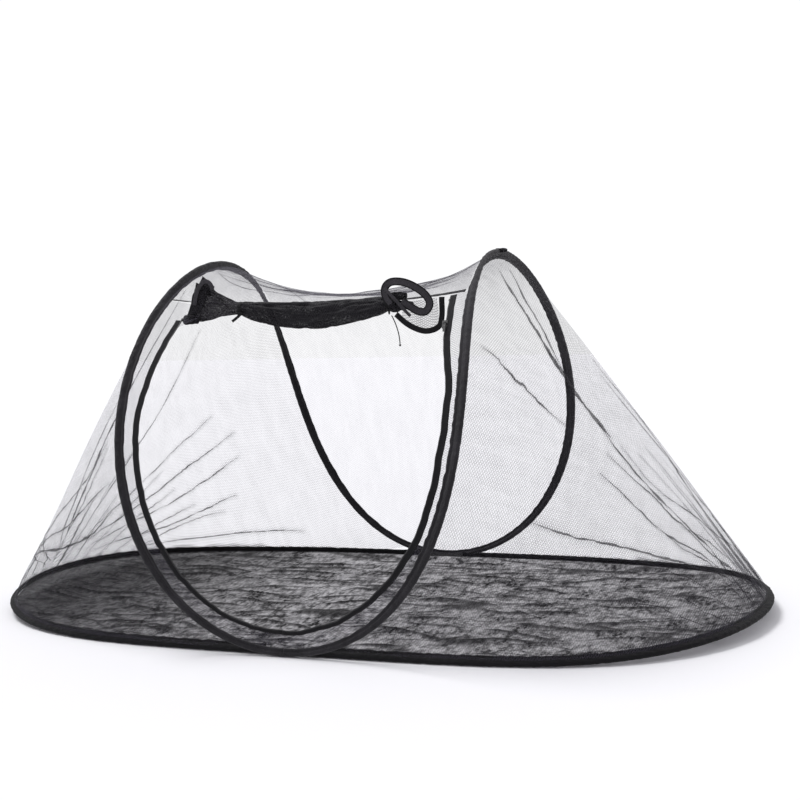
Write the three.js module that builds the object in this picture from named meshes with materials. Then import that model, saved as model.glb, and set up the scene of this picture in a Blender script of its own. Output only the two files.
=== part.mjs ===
// Pop-up mesh screen house: two spring-wire loops in folded fabric sleeves, one flat on the
// ground as the base and one saddle-shaped hoop that carries the netting, with a zipped door
// that is rolled up and tied under the ridge.
//
// Millimetres, +Z up. The origin is on the ground under the middle. X runs along the length, the
// door faces -Y, and the tent folds like a book about the line through the two feet, where the
// hoop crosses the base.
import * as THREE from "three";

// ---- Driving dimensions -------------------------------------------------------------------

const BASE_LENGTH = 1788; // base wire, tip to tip
const BASE_WIDTH = 988; // base wire, front to back
const BASE_END_POWER = 4; // powers of the base outline, a superellipse
const BASE_SIDE_POWER = 2;
const TIP_LIFT = 25; // the end panels pull both tips off the ground
const FLAT_HALF_LENGTH = 450; // the base lies flat this far either side of the middle
const BASE_STATIONS = 38; // straight lengths in each half of the base
const TIP_GATHER = 1.25; // over 1, they stand closer together at the tip

const HOOP_HEIGHT = 790; // hoop wire, feet to peaks
const HOOP_DEPTH = 1013; // hoop wire, front foot to back foot
const HOOP_SPREAD = 438; // half width of the hoop
const HOOP_PINCH = 93; // how much its feet and peaks pull in
const HOOP_SQUARENESS = -0.13; // how upright its front and back stand
const HOOP_LEAN = -0.03; // sideways lean, towards the gathered end of the door
const HOOP_STATIONS = 40; // straight lengths in each half of the hoop

const WIRE_CENTRE = 6; // centre of both wires above the ground
const WIRE_RADIUS = 1.75;
const WIRE_SIDES = 6;
const SLEEVE_RADIUS = 6;
const LIP_REACH = 16; // the sleeve's two lips, from the wire
const CLOTH = 1.2;
const GAP = 0.35; // clearance between neighbouring pieces
const HOOP_MEETING = 0.4; // half the gap where the two halves of the hoop meet

const RIDGE_SAG = 85; // the roof hangs this far below the line between the peaks
const SAG_FADE = 17; // degrees of profile over which that sag fades
const SAG_POWER = 2.6;

const SEAM_STATION = 16; // of the seam between the roof and the door
const SEAM_CLEARANCE = 0.09; // half the seam tape and a gap, in stations
const SEAM_TAPE = [9, 1.6]; // width and thickness
const ZIP_INSET = 42; // middle of the zip tape, in from the hoop wire
const ZIP_NARROWER = 12; // how much less that is beside the slider's side of the doorway
const ZIP_WIDER = 24; // and how much more where the gathered door pulls on the other side
const ZIP_TAPE = [14, 1.6];
const COIL_RADIUS = 1.6;
const ZIP_TOP = { right: 15.6, left: 15 }; // the stations where its two ends stop
const SLIDER_STATION = 14.5; // where the slider is parked
const SLIDER_SIZE = [19, 11, 7.4]; // along the zip, across it, and thick

const FOOT_HALF = 50; // half length of the stitched joint where hoop and base cross
const FERRULE_LENGTH = 44;
const BASE_FERRULE_STATION = 30; // behind the right tip
const HOOP_FERRULE_STATION = 24; // behind the right peak
const FERRULE_BORE = 2.1;
const FERRULE_RADIUS = 2.75;

const ROLL_LEFT = -187; // the two ties on the rolled door
const ROLL_RIGHT = 157;
const ROLL_RADIUS = 27;
const TIED_RADIUS = 13;
const ROLL_DROP = [-26, -7]; // middle of the tied ends from the seam, in Y and Z
const ROLL_SAG = 16;
const ROLL_CLEAR = 9; // the roll and the bunch stop this far from the middle of a tie
const BUNCH_END = [-300, -28, 3]; // where the gathered door spreads out again, from the seam
const BUNCH_SLOPE = 20; // degrees that its edge there leans towards the roll
const TIE = [8, 1.6];
const CORD_DIAMETER = 2.2;

// ---- Materials ----------------------------------------------------------------------------

const finish = (color, roughness, metalness = 0) =>
  new THREE.MeshStandardMaterial({ color, roughness, metalness });
const MATERIALS = {
  binding: finish(0x2b292d, 0.85),
  netting: finish(0x8d8b90, 0.9),
  floor: finish(0x3c3b3e, 0.8),
  zip: finish(0x1c1b1d, 0.6),
  steel: finish(0xa9aaad, 0.35, 1),
  metal: finish(0x55565a, 0.4, 1),
};

// ---- Small helpers ------------------------------------------------------------------------

const { degToRad, lerp, clamp } = THREE.MathUtils;
const vec = (x, y, z) => new THREE.Vector3(x, y, z);
const shares = (count) => Array.from({ length: count + 1 }, (_, i) => i / count);
const signedPower = (value, power) => Math.sign(value) * Math.abs(value) ** power;

const part = new THREE.Group();

function add(name, geometry, material) {
  const mesh = new THREE.Mesh(geometry, MATERIALS[material]);
  mesh.name = name;
  part.add(mesh);
}

// A closed body from points and triangles, turned so that its faces point out.
function closedBody(points, faces) {
  let volume = 0;
  for (const [a, b, c] of faces)
    volume += points[b].clone().cross(points[c]).dot(points[a]);
  const outward = faces.flatMap(([a, b, c]) => (volume < 0 ? [a, c, b] : [a, b, c]));
  const geometry = new THREE.BufferGeometry().setFromPoints(points).setIndex(outward);
  geometry.computeVertexNormals();
  return geometry;
}

// A section carried along frames of { at, across, up }, with both ends capped. Where a frame
// has a size, the section's two measures are multiplied by it there.
function sweep(section, frames) {
  const points = frames.flatMap(({ at, across, up, size = [1, 1] }) =>
    section.map(([a, b]) =>
      at.clone().addScaledVector(across, a * size[0]).addScaledVector(up, b * size[1]),
    ),
  );
  const outline = section.map(([a, b]) => new THREE.Vector2(a, b));
  const cap = THREE.ShapeUtils.triangulateShape(outline, []);
  const count = section.length;
  const last = (frames.length - 1) * count;
  const faces = [];
  for (const [a, b, c] of cap) faces.push([a, c, b], [last + a, last + b, last + c]);
  for (let ring = 0; ring < last; ring += count)
    for (let i = 0; i < count; i++) {
      const [a, b] = [ring + i, ring + ((i + 1) % count)];
      faces.push([a, b, b + count], [a, b + count, a + count]);
    }
  return closedBody(points, faces);
}

// A cloth of even thickness whose middle is surface(u, v), for each of the us and vs.
function cloth(surface, us, vs) {
  const rows = vs.map((v) => us.map((u) => surface(u, v)));
  const [across, along] = [us.length - 1, vs.length - 1];
  const normalAt = (i, j) => {
    const du = rows[j][Math.min(i + 1, across)].clone().sub(rows[j][Math.max(i - 1, 0)]);
    const dv = rows[Math.min(j + 1, along)][i].clone().sub(rows[Math.max(j - 1, 0)][i]);
    return du.cross(dv).normalize();
  };
  const layer = (offset) =>
    rows.flatMap((row, j) => row.map((p, i) => p.clone().addScaledVector(normalAt(i, j), offset)));
  const points = [...layer(CLOTH / 2), ...layer(-CLOTH / 2)];
  const columns = across + 1;
  const back = columns * (along + 1);
  const faces = [];
  for (let j = 0; j < along; j++)
    for (let i = 0; i < across; i++) {
      const a = j * columns + i;
      const [b, c, d] = [a + 1, a + columns + 1, a + columns];
      faces.push([a, b, c], [a, c, d], [back + a, back + c, back + b], [back + a, back + d, back + c]);
    }
  const rim = [];
  for (let i = 0; i < across; i++) rim.push(i);
  for (let j = 0; j < along; j++) rim.push(j * columns + across);
  for (let i = across; i > 0; i--) rim.push(along * columns + i);
  for (let j = along; j > 0; j--) rim.push(j * columns);
  rim.forEach((a, k) => {
    const b = rim[(k + 1) % rim.length];
    faces.push([a, back + a, back + b], [a, back + b, b]);
  });
  return closedBody(points, faces);
}

const polygon = (radius, sides) =>
  shares(sides)
    .slice(1)
    .map((share) => [radius * Math.cos(2 * Math.PI * share), radius * Math.sin(2 * Math.PI * share)]);

const rectangle = ([width, thickness]) => [
  [width / 2, thickness / 2],
  [-width / 2, thickness / 2],
  [-width / 2, -thickness / 2],
  [width / 2, -thickness / 2],
];

// Frames along curve(value) at each of the values. The section's across direction is kept as
// near as it can be to acrossAt(value).
function framesAlong(curve, values, acrossAt) {
  const [first, last] = [values[0], values[values.length - 1]];
  const nudge = (last - first) * 1e-4;
  return values.map((value) => {
    const behind = curve(Math.max(value - nudge, first));
    const tangent = curve(Math.min(value + nudge, last)).sub(behind).normalize();
    const across = acrossAt(value).clone();
    across.addScaledVector(tangent, -across.dot(tangent)).normalize();
    return { at: curve(value), across, up: tangent.clone().cross(across) };
  });
}

// ---- The hoop and the netting it carries ----------------------------------------------------

// The netting between the hoop's two halves hangs on a profile that runs from the front foot,
// at angle 0, over the ridge, at 90 degrees, to the back foot, at 180.
const profileY = (angle) =>
  ((-HOOP_DEPTH / 2) * (Math.cos(angle) + HOOP_SQUARENESS * Math.cos(3 * angle))) /
  (1 + HOOP_SQUARENESS);
const profileZ = (angle) => WIRE_CENTRE + HOOP_HEIGHT * Math.sin(angle) ** 2;
const leanAt = (angle) => HOOP_LEAN * (profileZ(angle) - WIRE_CENTRE);
const halfWidth = (angle) => HOOP_SPREAD * Math.sin(angle) + HOOP_PINCH * Math.sin(3 * angle);

// The hoop's wire. side is 1 for its right half and -1 for its left half.
const hoop = (angle, side) =>
  vec(leanAt(angle) + side * halfWidth(angle), profileY(angle), profileZ(angle));

// The netting's height of sag fades away from the ridge and towards the hoop.
function canopy(x, angle) {
  const inwardY = profileZ(angle + 0.001) - profileZ(angle - 0.001);
  const inwardZ = profileY(angle - 0.001) - profileY(angle + 0.001);
  const off = clamp(Math.abs(x - leanAt(angle)) / Math.max(halfWidth(angle), 1), 0, 1);
  const fade = Math.exp(-(((angle - Math.PI / 2) / degToRad(SAG_FADE)) ** 2));
  const sag = (RIDGE_SAG * fade * (1 - off ** SAG_POWER)) / Math.hypot(inwardY, inwardZ);
  return vec(x, profileY(angle) + inwardY * sag, profileZ(angle) + inwardZ * sag);
}

// A table of length, from which a curve can be walked by distance.
function measured(curve, from, to, count) {
  const at = shares(count).map((share) => lerp(from, to, share));
  const length = [0];
  for (let i = 1; i <= count; i++)
    length.push(length[i - 1] + curve(at[i]).distanceTo(curve(at[i - 1])));
  const between = (keys, values, key) => {
    const above = clamp(keys.findIndex((k) => k >= key), 1, count);
    const i = key > keys[count] ? count : above;
    return lerp(values[i - 1], values[i], (key - keys[i - 1]) / (keys[i] - keys[i - 1]));
  };
  return {
    total: length[count],
    lengthAt: (value) => between(at, length, value),
    valueAt: (distance) => between(length, at, distance),
  };
}
const profile = measured((a) => vec(0, profileY(a), profileZ(a)), 0, Math.PI, 720);

// The point of the netting's own flat pattern that lies inset from the hoop's edge.
function inset(angle, side, distance) {
  const step = 0.0005;
  const dx = hoop(angle + step, side).x - hoop(angle - step, side).x;
  const ds = vec(0, profileY(angle + step), profileZ(angle + step)).distanceTo(
    vec(0, profileY(angle - step), profileZ(angle - step)),
  );
  const scale = (side * distance) / Math.hypot(dx, ds);
  const along = profile.lengthAt(angle) + dx * scale;
  return [hoop(angle, side).x - ds * scale, profile.valueAt(along)];
}
const onCanopy = (angle, side, distance) => canopy(...inset(angle, side, distance));

// The hoop is straight between stations, which are evenly spaced. Everything sewn to it bends at
// the same stations, so that it stays inside the sleeve's slot.
const hoopStart = HOOP_MEETING / (HOOP_SPREAD + 3 * HOOP_PINCH);
const stationAngle = (station) =>
  clamp((station * Math.PI) / HOOP_STATIONS, hoopStart, Math.PI - hoopStart);
const stations = (from, to) => {
  const whole = Array.from({ length: HOOP_STATIONS }, (_, i) => i);
  return [from, ...whole.filter((i) => i > from && i < to), to];
};

// A place on the netting, at any station. distance is how far in it is from the hoop, or says so
// for each station.
const insetAt = (distance, station) => (distance.call ? distance(station) : distance);
function net(station, side, distance) {
  const whole = (i) => onCanopy(stationAngle(i), side, insetAt(distance, i));
  const below = Math.min(Math.floor(station), HOOP_STATIONS - 1);
  return whole(below).lerp(whole(below + 1), station - below);
}

// Frames along the hoop's wire, or along a line inset from it, with across pointing inwards.
function hoopFrames(side, at, distance = 0) {
  const stationOf = (angle) => (angle * HOOP_STATIONS) / Math.PI;
  const place = (angle, more) => onCanopy(angle, side, insetAt(distance, stationOf(angle)) + more);
  const curve = (angle) => (distance ? place(angle, 0) : hoop(angle, side));
  const inwards = (angle) => place(angle, LIP_REACH * 0.75).sub(curve(angle));
  const frames = framesAlong(curve, at.map(stationAngle), inwards);
  frames.forEach((frame, i) => {
    if (distance) frame.at = net(at[i], side, distance);
  });
  return frames;
}

// ---- The base -------------------------------------------------------------------------------

const lift = (x) =>
  TIP_LIFT *
  (Math.max(0, Math.abs(x) - FLAT_HALF_LENGTH) / (BASE_LENGTH / 2 - FLAT_HALF_LENGTH)) ** 2;

// Half of the base wire, from the front foot at -90 degrees past the tip to the back foot.
function baseAt(angle, side) {
  const x = (side * BASE_LENGTH * Math.max(Math.cos(angle), 0) ** (2 / BASE_END_POWER)) / 2;
  const y = (BASE_WIDTH * signedPower(Math.sin(angle), 2 / BASE_SIDE_POWER)) / 2;
  return vec(x, y, WIRE_CENTRE + lift(x));
}
const rim = measured((a) => baseAt(a, 1), -Math.PI / 2, Math.PI / 2, 1440);
const baseRim = (share, side) => baseAt(rim.valueAt(share * rim.total), side);

// The floor's own place this far in from the rim, before it comes down to the ground.
function baseInset(share, side, distance) {
  const step = 0.001;
  const from = baseRim(Math.max(share - step, 0), side);
  const travel = baseRim(Math.min(share + step, 1), side).sub(from);
  const inwards = vec(-side * travel.y, side * travel.x, 0).setLength(distance);
  const place = baseRim(share, side).add(inwards);
  return place.setZ(WIRE_CENTRE + lift(place.x));
}

// The base is straight between its own stations, which stand closer together at the tip.
const footShare = FOOT_HALF / rim.total;
const baseShares = shares(BASE_STATIONS).map((share) => {
  const gathered = signedPower(2 * share - 1, TIP_GATHER);
  return lerp(footShare, 1 - footShare, (1 + gathered) / 2);
});
function baseFrames(side) {
  const wire = (share) => baseRim(share, side);
  const inwards = (share) => baseInset(share, side, LIP_REACH).sub(wire(share));
  return framesAlong(wire, baseShares, inwards);
}

// ---- Wires, sleeves and their joints ----------------------------------------------------------

// Folded binding: round over the wire, then two lips with the cloth between them.
const CAVITY = 3.2;
const LIP_HALF = 2.9;
const SLOT_HALF = 1.5;
const sleeveOuter = [
  [LIP_REACH, LIP_HALF],
  [3, SLEEVE_RADIUS],
  [-4, 5],
  [-SLEEVE_RADIUS, 0],
  [-4, -5],
  [3, -SLEEVE_RADIUS],
  [LIP_REACH, -LIP_HALF],
];
const sleeveSection = [
  ...sleeveOuter,
  [LIP_REACH, -SLOT_HALF],
  [CAVITY, -SLOT_HALF],
  [CAVITY, -CAVITY],
  [-CAVITY, -CAVITY],
  [-CAVITY, CAVITY],
  [CAVITY, CAVITY],
  [CAVITY, SLOT_HALF],
  [LIP_REACH, SLOT_HALF],
];

const SIDES = { right: 1, left: -1 };
const baseLine = { right: baseFrames(1), left: baseFrames(-1) };
const wholeHoop = stations(0, HOOP_STATIONS);
const hoopLine = { right: hoopFrames(1, wholeHoop), left: hoopFrames(-1, wholeHoop) };
for (const word of Object.keys(SIDES)) {
  add("base_wire_" + word, sweep(polygon(WIRE_RADIUS, WIRE_SIDES), baseLine[word]), "steel");
  add("base_binding_" + word, sweep(sleeveSection, baseLine[word]), "binding");
  add("hoop_wire_" + word, sweep(polygon(WIRE_RADIUS, WIRE_SIDES), hoopLine[word]), "steel");
  add("hoop_binding_" + word, sweep(sleeveSection, hoopLine[word]), "binding");
}

// The stitched joints under the two feet, where the base binding is sewn to the hoop's.
for (const [word, end] of [["front", 0], ["back", 1]]) {
  const half = FOOT_HALF - GAP;
  const frames = [-half, half].map((x) => ({
    at: baseRim(end, 1).setX(x),
    across: vec(0, 1 - 2 * end, 0),
    up: vec(0, 0, 1),
  }));
  add("foot_joint_" + word, sweep(sleeveOuter, frames), "binding");
}

// A crimped tube where the two ends of a wire meet, halfway along one of its straight lengths.
function ferrule(name, frames, place) {
  const [from, to] = [frames[place].at, frames[place + 1].at];
  const reach = FERRULE_LENGTH / 2 / from.distanceTo(to);
  const ends = [0.5 - reach, 0.5 + reach];
  const rings = framesAlong((f) => from.clone().lerp(to, f), ends, () => frames[place].across);
  const sides = WIRE_SIDES;
  const section = [...polygon(FERRULE_RADIUS, sides), ...polygon(FERRULE_BORE, sides)];
  const points = rings.flatMap(({ at, across, up }) =>
    section.map(([a, b]) => at.clone().addScaledVector(across, a).addScaledVector(up, b)),
  );
  const faces = [];
  const quad = (a, b, c, d) => faces.push([a, b, c], [a, c, d]);
  const far = 2 * sides;
  for (let i = 0; i < sides; i++) {
    const j = (i + 1) % sides;
    quad(i, j, far + j, far + i);
    quad(sides + j, sides + i, far + sides + i, far + sides + j);
    quad(j, i, sides + i, sides + j);
    quad(far + i, far + j, far + sides + j, far + sides + i);
  }
  add(name, closedBody(points, faces), "metal");
}
ferrule("base_ferrule", baseLine.right, BASE_FERRULE_STATION);
ferrule("hoop_ferrule", hoopLine.right, HOOP_FERRULE_STATION);

// ---- Floor and netting --------------------------------------------------------------------------

// A cloth's edge lies between the lips, this far from the wire. The floor stops short of the
// solid foot joints.
const EDGE_IN_SLEEVE = 5.5;
const PAST_LIPS = LIP_REACH + 2;
const FLOOR_DOWN = 60; // the floor reaches the ground this far in from the wire
const FLOOR_SPLIT = 0.6; // half the gap between the two halves of the floor
const FOLD_SPLIT = 3.8; // the same where the floor is as high as the line that it folds about
const FLOOR_FAN = 300; // the floor's lines from the rim meet the split within this of the middle
const FLOOR_ROWS = 7;

const corner = 0.0006;
const floorShares = [
  0,
  footShare,
  footShare + corner,
  ...baseShares.slice(1, -1),
  1 - footShare - corner,
  1 - footShare,
  1,
];

// row 0 is the edge, row 1 is just past the lips, row 2 reaches the ground and the last row
// lies along the split.
function floorAt(side, share, row) {
  const inJoint = Math.min(share, 1 - share) <= footShare;
  const insets = [inJoint ? LIP_REACH + GAP : EDGE_IN_SLEEVE, PAST_LIPS, FLOOR_DOWN];
  const from = baseInset(share, side, insets[Math.min(row, 2)]);
  if (share === 0 || share === 1) from.setX(side * (row < 2 ? FOLD_SPLIT : FLOOR_SPLIT));
  const split = vec(side * FLOOR_SPLIT, lerp(-FLOOR_FAN, FLOOR_FAN, share), 0);
  const point = from.lerp(split, Math.max(row - 2, 0) / (FLOOR_ROWS - 2));
  return point.setZ((row < 2 ? WIRE_CENTRE : CLOTH / 2) + lift(point.x));
}

// The end panel is stretched from the outside of the hoop's sleeve to the top of the base's,
// from each station of the hoop to the base station before it.
const PANEL_OFFSET = 9;
const PANEL_START = 2; // first station that it is sewn to
const panelStations = stations(PANEL_START, HOOP_STATIONS - PANEL_START);
function endPanelAt(word, station, v) {
  const high = hoopLine[word][station].at.clone();
  const low = baseLine[word][station - 1].at.clone();
  const way = low.clone().sub(high).normalize();
  high.addScaledVector(way, PANEL_OFFSET);
  low.addScaledVector(way, -PANEL_OFFSET);
  return high.lerp(low, v);
}

// The door's opening: a strip of netting inside the hoop, the zip tape and its coil. The strip is
// narrower on the right, and wider at the top of the left, where the door's weight pulls on it.
const { smoothstep } = THREE.MathUtils;
function zipInset(station, side) {
  const narrower = smoothstep(station, 3, 8) * (1 - smoothstep(station, 12, 14));
  const wider = smoothstep(station, 10.5, 15);
  return ZIP_INSET + (side > 0 ? -ZIP_NARROWER * narrower : ZIP_WIDER * wider);
}
const ZIP_TAPE_EDGE = -ZIP_TAPE[0] / 2 - 2 * GAP;
const COIL_LINE = ZIP_TAPE[0] / 2 + GAP + COIL_RADIUS;
const fromZip = (side, offset) => (station) => zipInset(station, side) + offset;
for (const [word, side] of Object.entries(SIDES)) {
  const floorRows = Array.from({ length: FLOOR_ROWS + 1 }, (_, i) => i);
  add("floor_" + word, cloth((u, v) => floorAt(side, u, v), floorShares, floorRows), "floor");
  const panel = (u, v) => endPanelAt(word, u, v);
  add("end_panel_" + word, cloth(panel, panelStations, shares(6)), "netting");
  const stripLines = [EDGE_IN_SLEEVE, PAST_LIPS, fromZip(side, ZIP_TAPE_EDGE)];
  const strip = (u, v) => net(v, side, stripLines[u]);
  const toSeam = stations(0, SEAM_STATION - SEAM_CLEARANCE);
  add("front_strip_" + word, cloth(strip, [0, 1, 2], toSeam), "netting");
  const zipTop = ZIP_TOP[word];
  const tapeFrames = hoopFrames(side, stations(0, zipTop), fromZip(side, 0));
  add("zip_tape_" + word, sweep(rectangle(ZIP_TAPE), tapeFrames), "zip");
  const coilFrames = hoopFrames(side, stations(0, zipTop), fromZip(side, COIL_LINE));
  add("zip_coil_" + word, sweep(polygon(COIL_RADIUS, 6), coilFrames), "zip");
}

// The back panel runs from the seam over the ridge and down to the back foot. column is from
// -BACK_HALF at the left edge to BACK_HALF at the right.
const BACK_HALF = 7;
const BACK_BOTTOM = HOOP_STATIONS - 0.5;
function backPanelAt(column, station) {
  const side = Math.sign(column) || 1;
  const edge = BACK_HALF - 1;
  if (Math.abs(column) >= edge)
    return net(station, side, Math.abs(column) > edge ? EDGE_IN_SLEEVE : PAST_LIPS);
  const across = (whole) => {
    const angle = stationAngle(whole);
    const [left, right] = [inset(angle, -1, PAST_LIPS), inset(angle, 1, PAST_LIPS)];
    const share = (column + edge) / (2 * edge);
    return canopy(lerp(left[0], right[0], share), lerp(left[1], right[1], share));
  };
  const below = Math.floor(station);
  return across(below).lerp(across(below + 1), station - below);
}
{
  const columns = Array.from({ length: 2 * BACK_HALF + 1 }, (_, i) => i - BACK_HALF);
  const rows = stations(SEAM_STATION + SEAM_CLEARANCE, BACK_BOTTOM);
  add("back_panel", cloth(backPanelAt, columns, rows), "netting");
}

// ---- The seam tape and the rolled door ---------------------------------------------------------

{
  const columns = Array.from({ length: 21 }, (_, i) => lerp(1 - BACK_HALF, BACK_HALF - 1, i / 20));
  const seam = (column) => backPanelAt(column, SEAM_STATION);
  const upHill = (column) => backPanelAt(column, SEAM_STATION + 0.5).sub(seam(column));
  add("seam_tape", sweep(rectangle(SEAM_TAPE), framesAlong(seam, columns, upHill)), "binding");
}

// A place near the seam: its x, then how far it is behind and above the seam there.
const bySeam = (x, y, z) => canopy(x, stationAngle(SEAM_STATION)).add(vec(0, y, z));
const VERTICAL = vec(0, 0, 1);
const FORWARD = vec(0, -1, 0);

// Gathered netting: a rounded body through sections of { at, across, size }.
function gathered(name, sections) {
  const line = new THREE.CatmullRomCurve3(sections.map(({ at }) => at));
  const values = shares(sections.length - 1);
  const frames = framesAlong(
    (value) => line.getPoint(value),
    values,
    (value) => sections[Math.round(value * (sections.length - 1))].across,
  );
  frames.forEach((frame, i) => (frame.size = sections[i].size));
  add(name, sweep(polygon(1, 10), frames), "netting");
}

const rollAt = (x, drop = 0) => bySeam(x, ROLL_DROP[0], ROLL_DROP[1] - drop);
gathered(
  "door_roll",
  shares(14).map((share) => {
    const swell = Math.sin(Math.PI * share);
    const radius = lerp(TIED_RADIUS, ROLL_RADIUS, swell ** 0.5);
    const x = lerp(ROLL_LEFT + ROLL_CLEAR, ROLL_RIGHT - ROLL_CLEAR, share);
    const at = rollAt(x, ROLL_SAG * swell);
    return { at, across: VERTICAL, size: [radius, radius * 0.9] };
  }),
);

// Left of the roll the door spreads out again, on its way to where it is sewn beside the hoop.
{
  const tied = rollAt(ROLL_LEFT - ROLL_CLEAR);
  const end = bySeam(...BUNCH_END);
  const edge = vec(Math.sin(degToRad(BUNCH_SLOPE)), 0, Math.cos(degToRad(BUNCH_SLOPE)));
  const sizes = [[13, 12], [19, 14], [29, 15], [37, 14], [40, 11], [38, 6]];
  gathered(
    "door_bunch",
    sizes.map((size, i) => {
      const share = i / (sizes.length - 1);
      return { at: tied.clone().lerp(end, share), across: VERTICAL.clone().lerp(edge, share), size };
    }),
  );
}

// The ties: a flat tape round each end of the roll.
for (const [name, x] of [["tie_left", ROLL_LEFT], ["tie_right", ROLL_RIGHT]]) {
  const centre = rollAt(x);
  const alongRoll = rollAt(x + 1).sub(rollAt(x - 1));
  const radius = TIED_RADIUS + TIE[1] / 2 + GAP;
  const circle = (turn) =>
    centre.clone().add(vec(0, -radius * Math.cos(turn), radius * Math.sin(turn)));
  const turns = shares(14).map((share) => lerp(0.05, 2 * Math.PI - 0.05, share));
  add(name, sweep(rectangle(TIE), framesAlong(circle, turns, () => alongRoll)), "binding");
}

// Tape laid along a hand-placed route, its flat side to the front.
function tape(name, route, section, count, material) {
  const curve = new THREE.CatmullRomCurve3(route.map((place) => bySeam(...place)));
  const across = (share) => curve.getTangentAt(share).cross(FORWARD);
  const frames = framesAlong((share) => curve.getPointAt(share), shares(count), across);
  add(name, sweep(rectangle(section), frames), material);
}

// The door's own zip tape curls over the roll past the right tie.
const ZIP_LOOP = [
  [169, -47, -8],
  [160, -51, 7],
  [160, -54, 26],
  [175, -56, 37],
  [203, -58, 34],
  [231, -58, 20],
  [252, -56, 1],
  [259, -54, -17],
  [249, -52, -31],
  [232, -51, -29],
  [213, -50, -17],
  [195, -48, -4],
];
tape("door_zip_loop", ZIP_LOOP, [17, 1.6], 26, "zip");

// Its edge tape sags from the tie and comes up to the seam beside the fixed zip tape.
const DOOR_EDGE = [
  [175, -34, -30],
  [194, -34, -48],
  [214, -32, -62],
  [236, -30, -71],
  [255, -27, -71],
  [267, -23, -65],
  [271, -19, -54],
  [272, -15, -37],
  [271, -12, -13],
];
tape("door_edge_tape", DOOR_EDGE, [12, 1.6], 18, "zip");

// The corner of the door that stays open, between the seam and that tape.
{
  const edge = new THREE.CatmullRomCurve3(DOOR_EDGE.map((place) => bySeam(...place)));
  const doorCorner = (u, v) => {
    const low = edge.getPoint(lerp(0.1, 0.55, u)).add(vec(-2 * u, 2, 8));
    const high = bySeam(lerp(190, 250, u), lerp(-24, -12, u), -9);
    return low.lerp(high, v);
  };
  add("door_corner", cloth(doorCorner, shares(8), shares(3)), "netting");
}

// The loose ends of the ties: a stub of tape on the left and a thin knotted cord on the right.
const TIE_STUB = [
  [-178, -44, -16],
  [-188, -45, -25],
  [-201, -46, -35],
];
tape("tie_stub_left", TIE_STUB, [6, 1.6], 4, "binding");
const CORD_ROUTE = [
  [168, -42, -32],
  [170.3, -42.1, -36],
  [172.3, -42.2, -40],
  [174.1, -42.3, -44],
  [175.8, -42.4, -48],
  [177.3, -42.5, -52],
  [178.7, -42.6, -56],
  [180, -42.7, -60],
  [181.1, -42.8, -64],
  [182.1, -42.8, -68],
  [183, -42.9, -72],
  [183.7, -42.9, -76],
  [184.3, -43, -80],
  [184.7, -43, -84],
  [185, -43, -88],
  [185.1, -43, -92],
];
{
  const curve = new THREE.CatmullRomCurve3(CORD_ROUTE.map((place) => bySeam(...place)));
  const frames = framesAlong((share) => curve.getPointAt(share), shares(15), () => FORWARD);
  add("tie_cord", sweep(polygon(CORD_DIAMETER / 2, 8), frames), "binding");
  const radius = CORD_DIAMETER * 1.1;
  const knot = new THREE.IcosahedronGeometry(radius, 1);
  const centre = curve.getPointAt(1).addScaledVector(curve.getTangentAt(1), radius + GAP);
  knot.translate(centre.x, centre.y, centre.z);
  add("tie_knot", knot, "binding");
}

// ---- The slider and the stops --------------------------------------------------------------------

// Directions on the zip's track: along it towards the foot, inwards to the door, and out.
function track(station, side) {
  const from = Math.floor(station);
  const line = fromZip(side, COIL_LINE);
  const at = net(station, side, line);
  const along = net(from, side, line).sub(net(from + 1, side, line)).normalize();
  const inward = net(station, side, fromZip(side, COIL_LINE + 5)).sub(at);
  inward.addScaledVector(along, -inward.dot(along)).normalize();
  const out = inward.clone().cross(along).multiplyScalar(side);
  const place = (a, b, c) =>
    at.clone().addScaledVector(along, a).addScaledVector(inward, b).addScaledVector(out, c);
  return { along, inward, out, place };
}
const parked = track(SLIDER_STATION, 1);
const crossSection = ({ place, inward, out }, a, size = [1, 1]) => ({
  at: place(a, 0, 0),
  across: inward,
  up: out,
  size,
});

// The slider is a folded channel round the coil, open towards the tape.
const [SLIDER_LENGTH, SLIDER_WIDTH, SLIDER_THICKNESS] = SLIDER_SIZE;
{
  const [outer, inner] = [-0.42 * SLIDER_WIDTH, 0.58 * SLIDER_WIDTH];
  const half = SLIDER_THICKNESS / 2;
  const room = COIL_RADIUS + 1;
  const mouth = ZIP_TAPE[1] / 2 + 1;
  const channel = [
    [outer, half],
    [outer, mouth],
    [-room, mouth],
    [-room, room],
    [room, room],
    [room, -room],
    [-room, -room],
    [-room, -mouth],
    [outer, -mouth],
    [outer, -half],
    [inner, -half],
    [inner, half],
  ];
  const frames = [-0.5, 0.5].map((share) => crossSection(parked, share * SLIDER_LENGTH));
  add("zip_slider", sweep(channel, frames), "metal");
}

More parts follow.
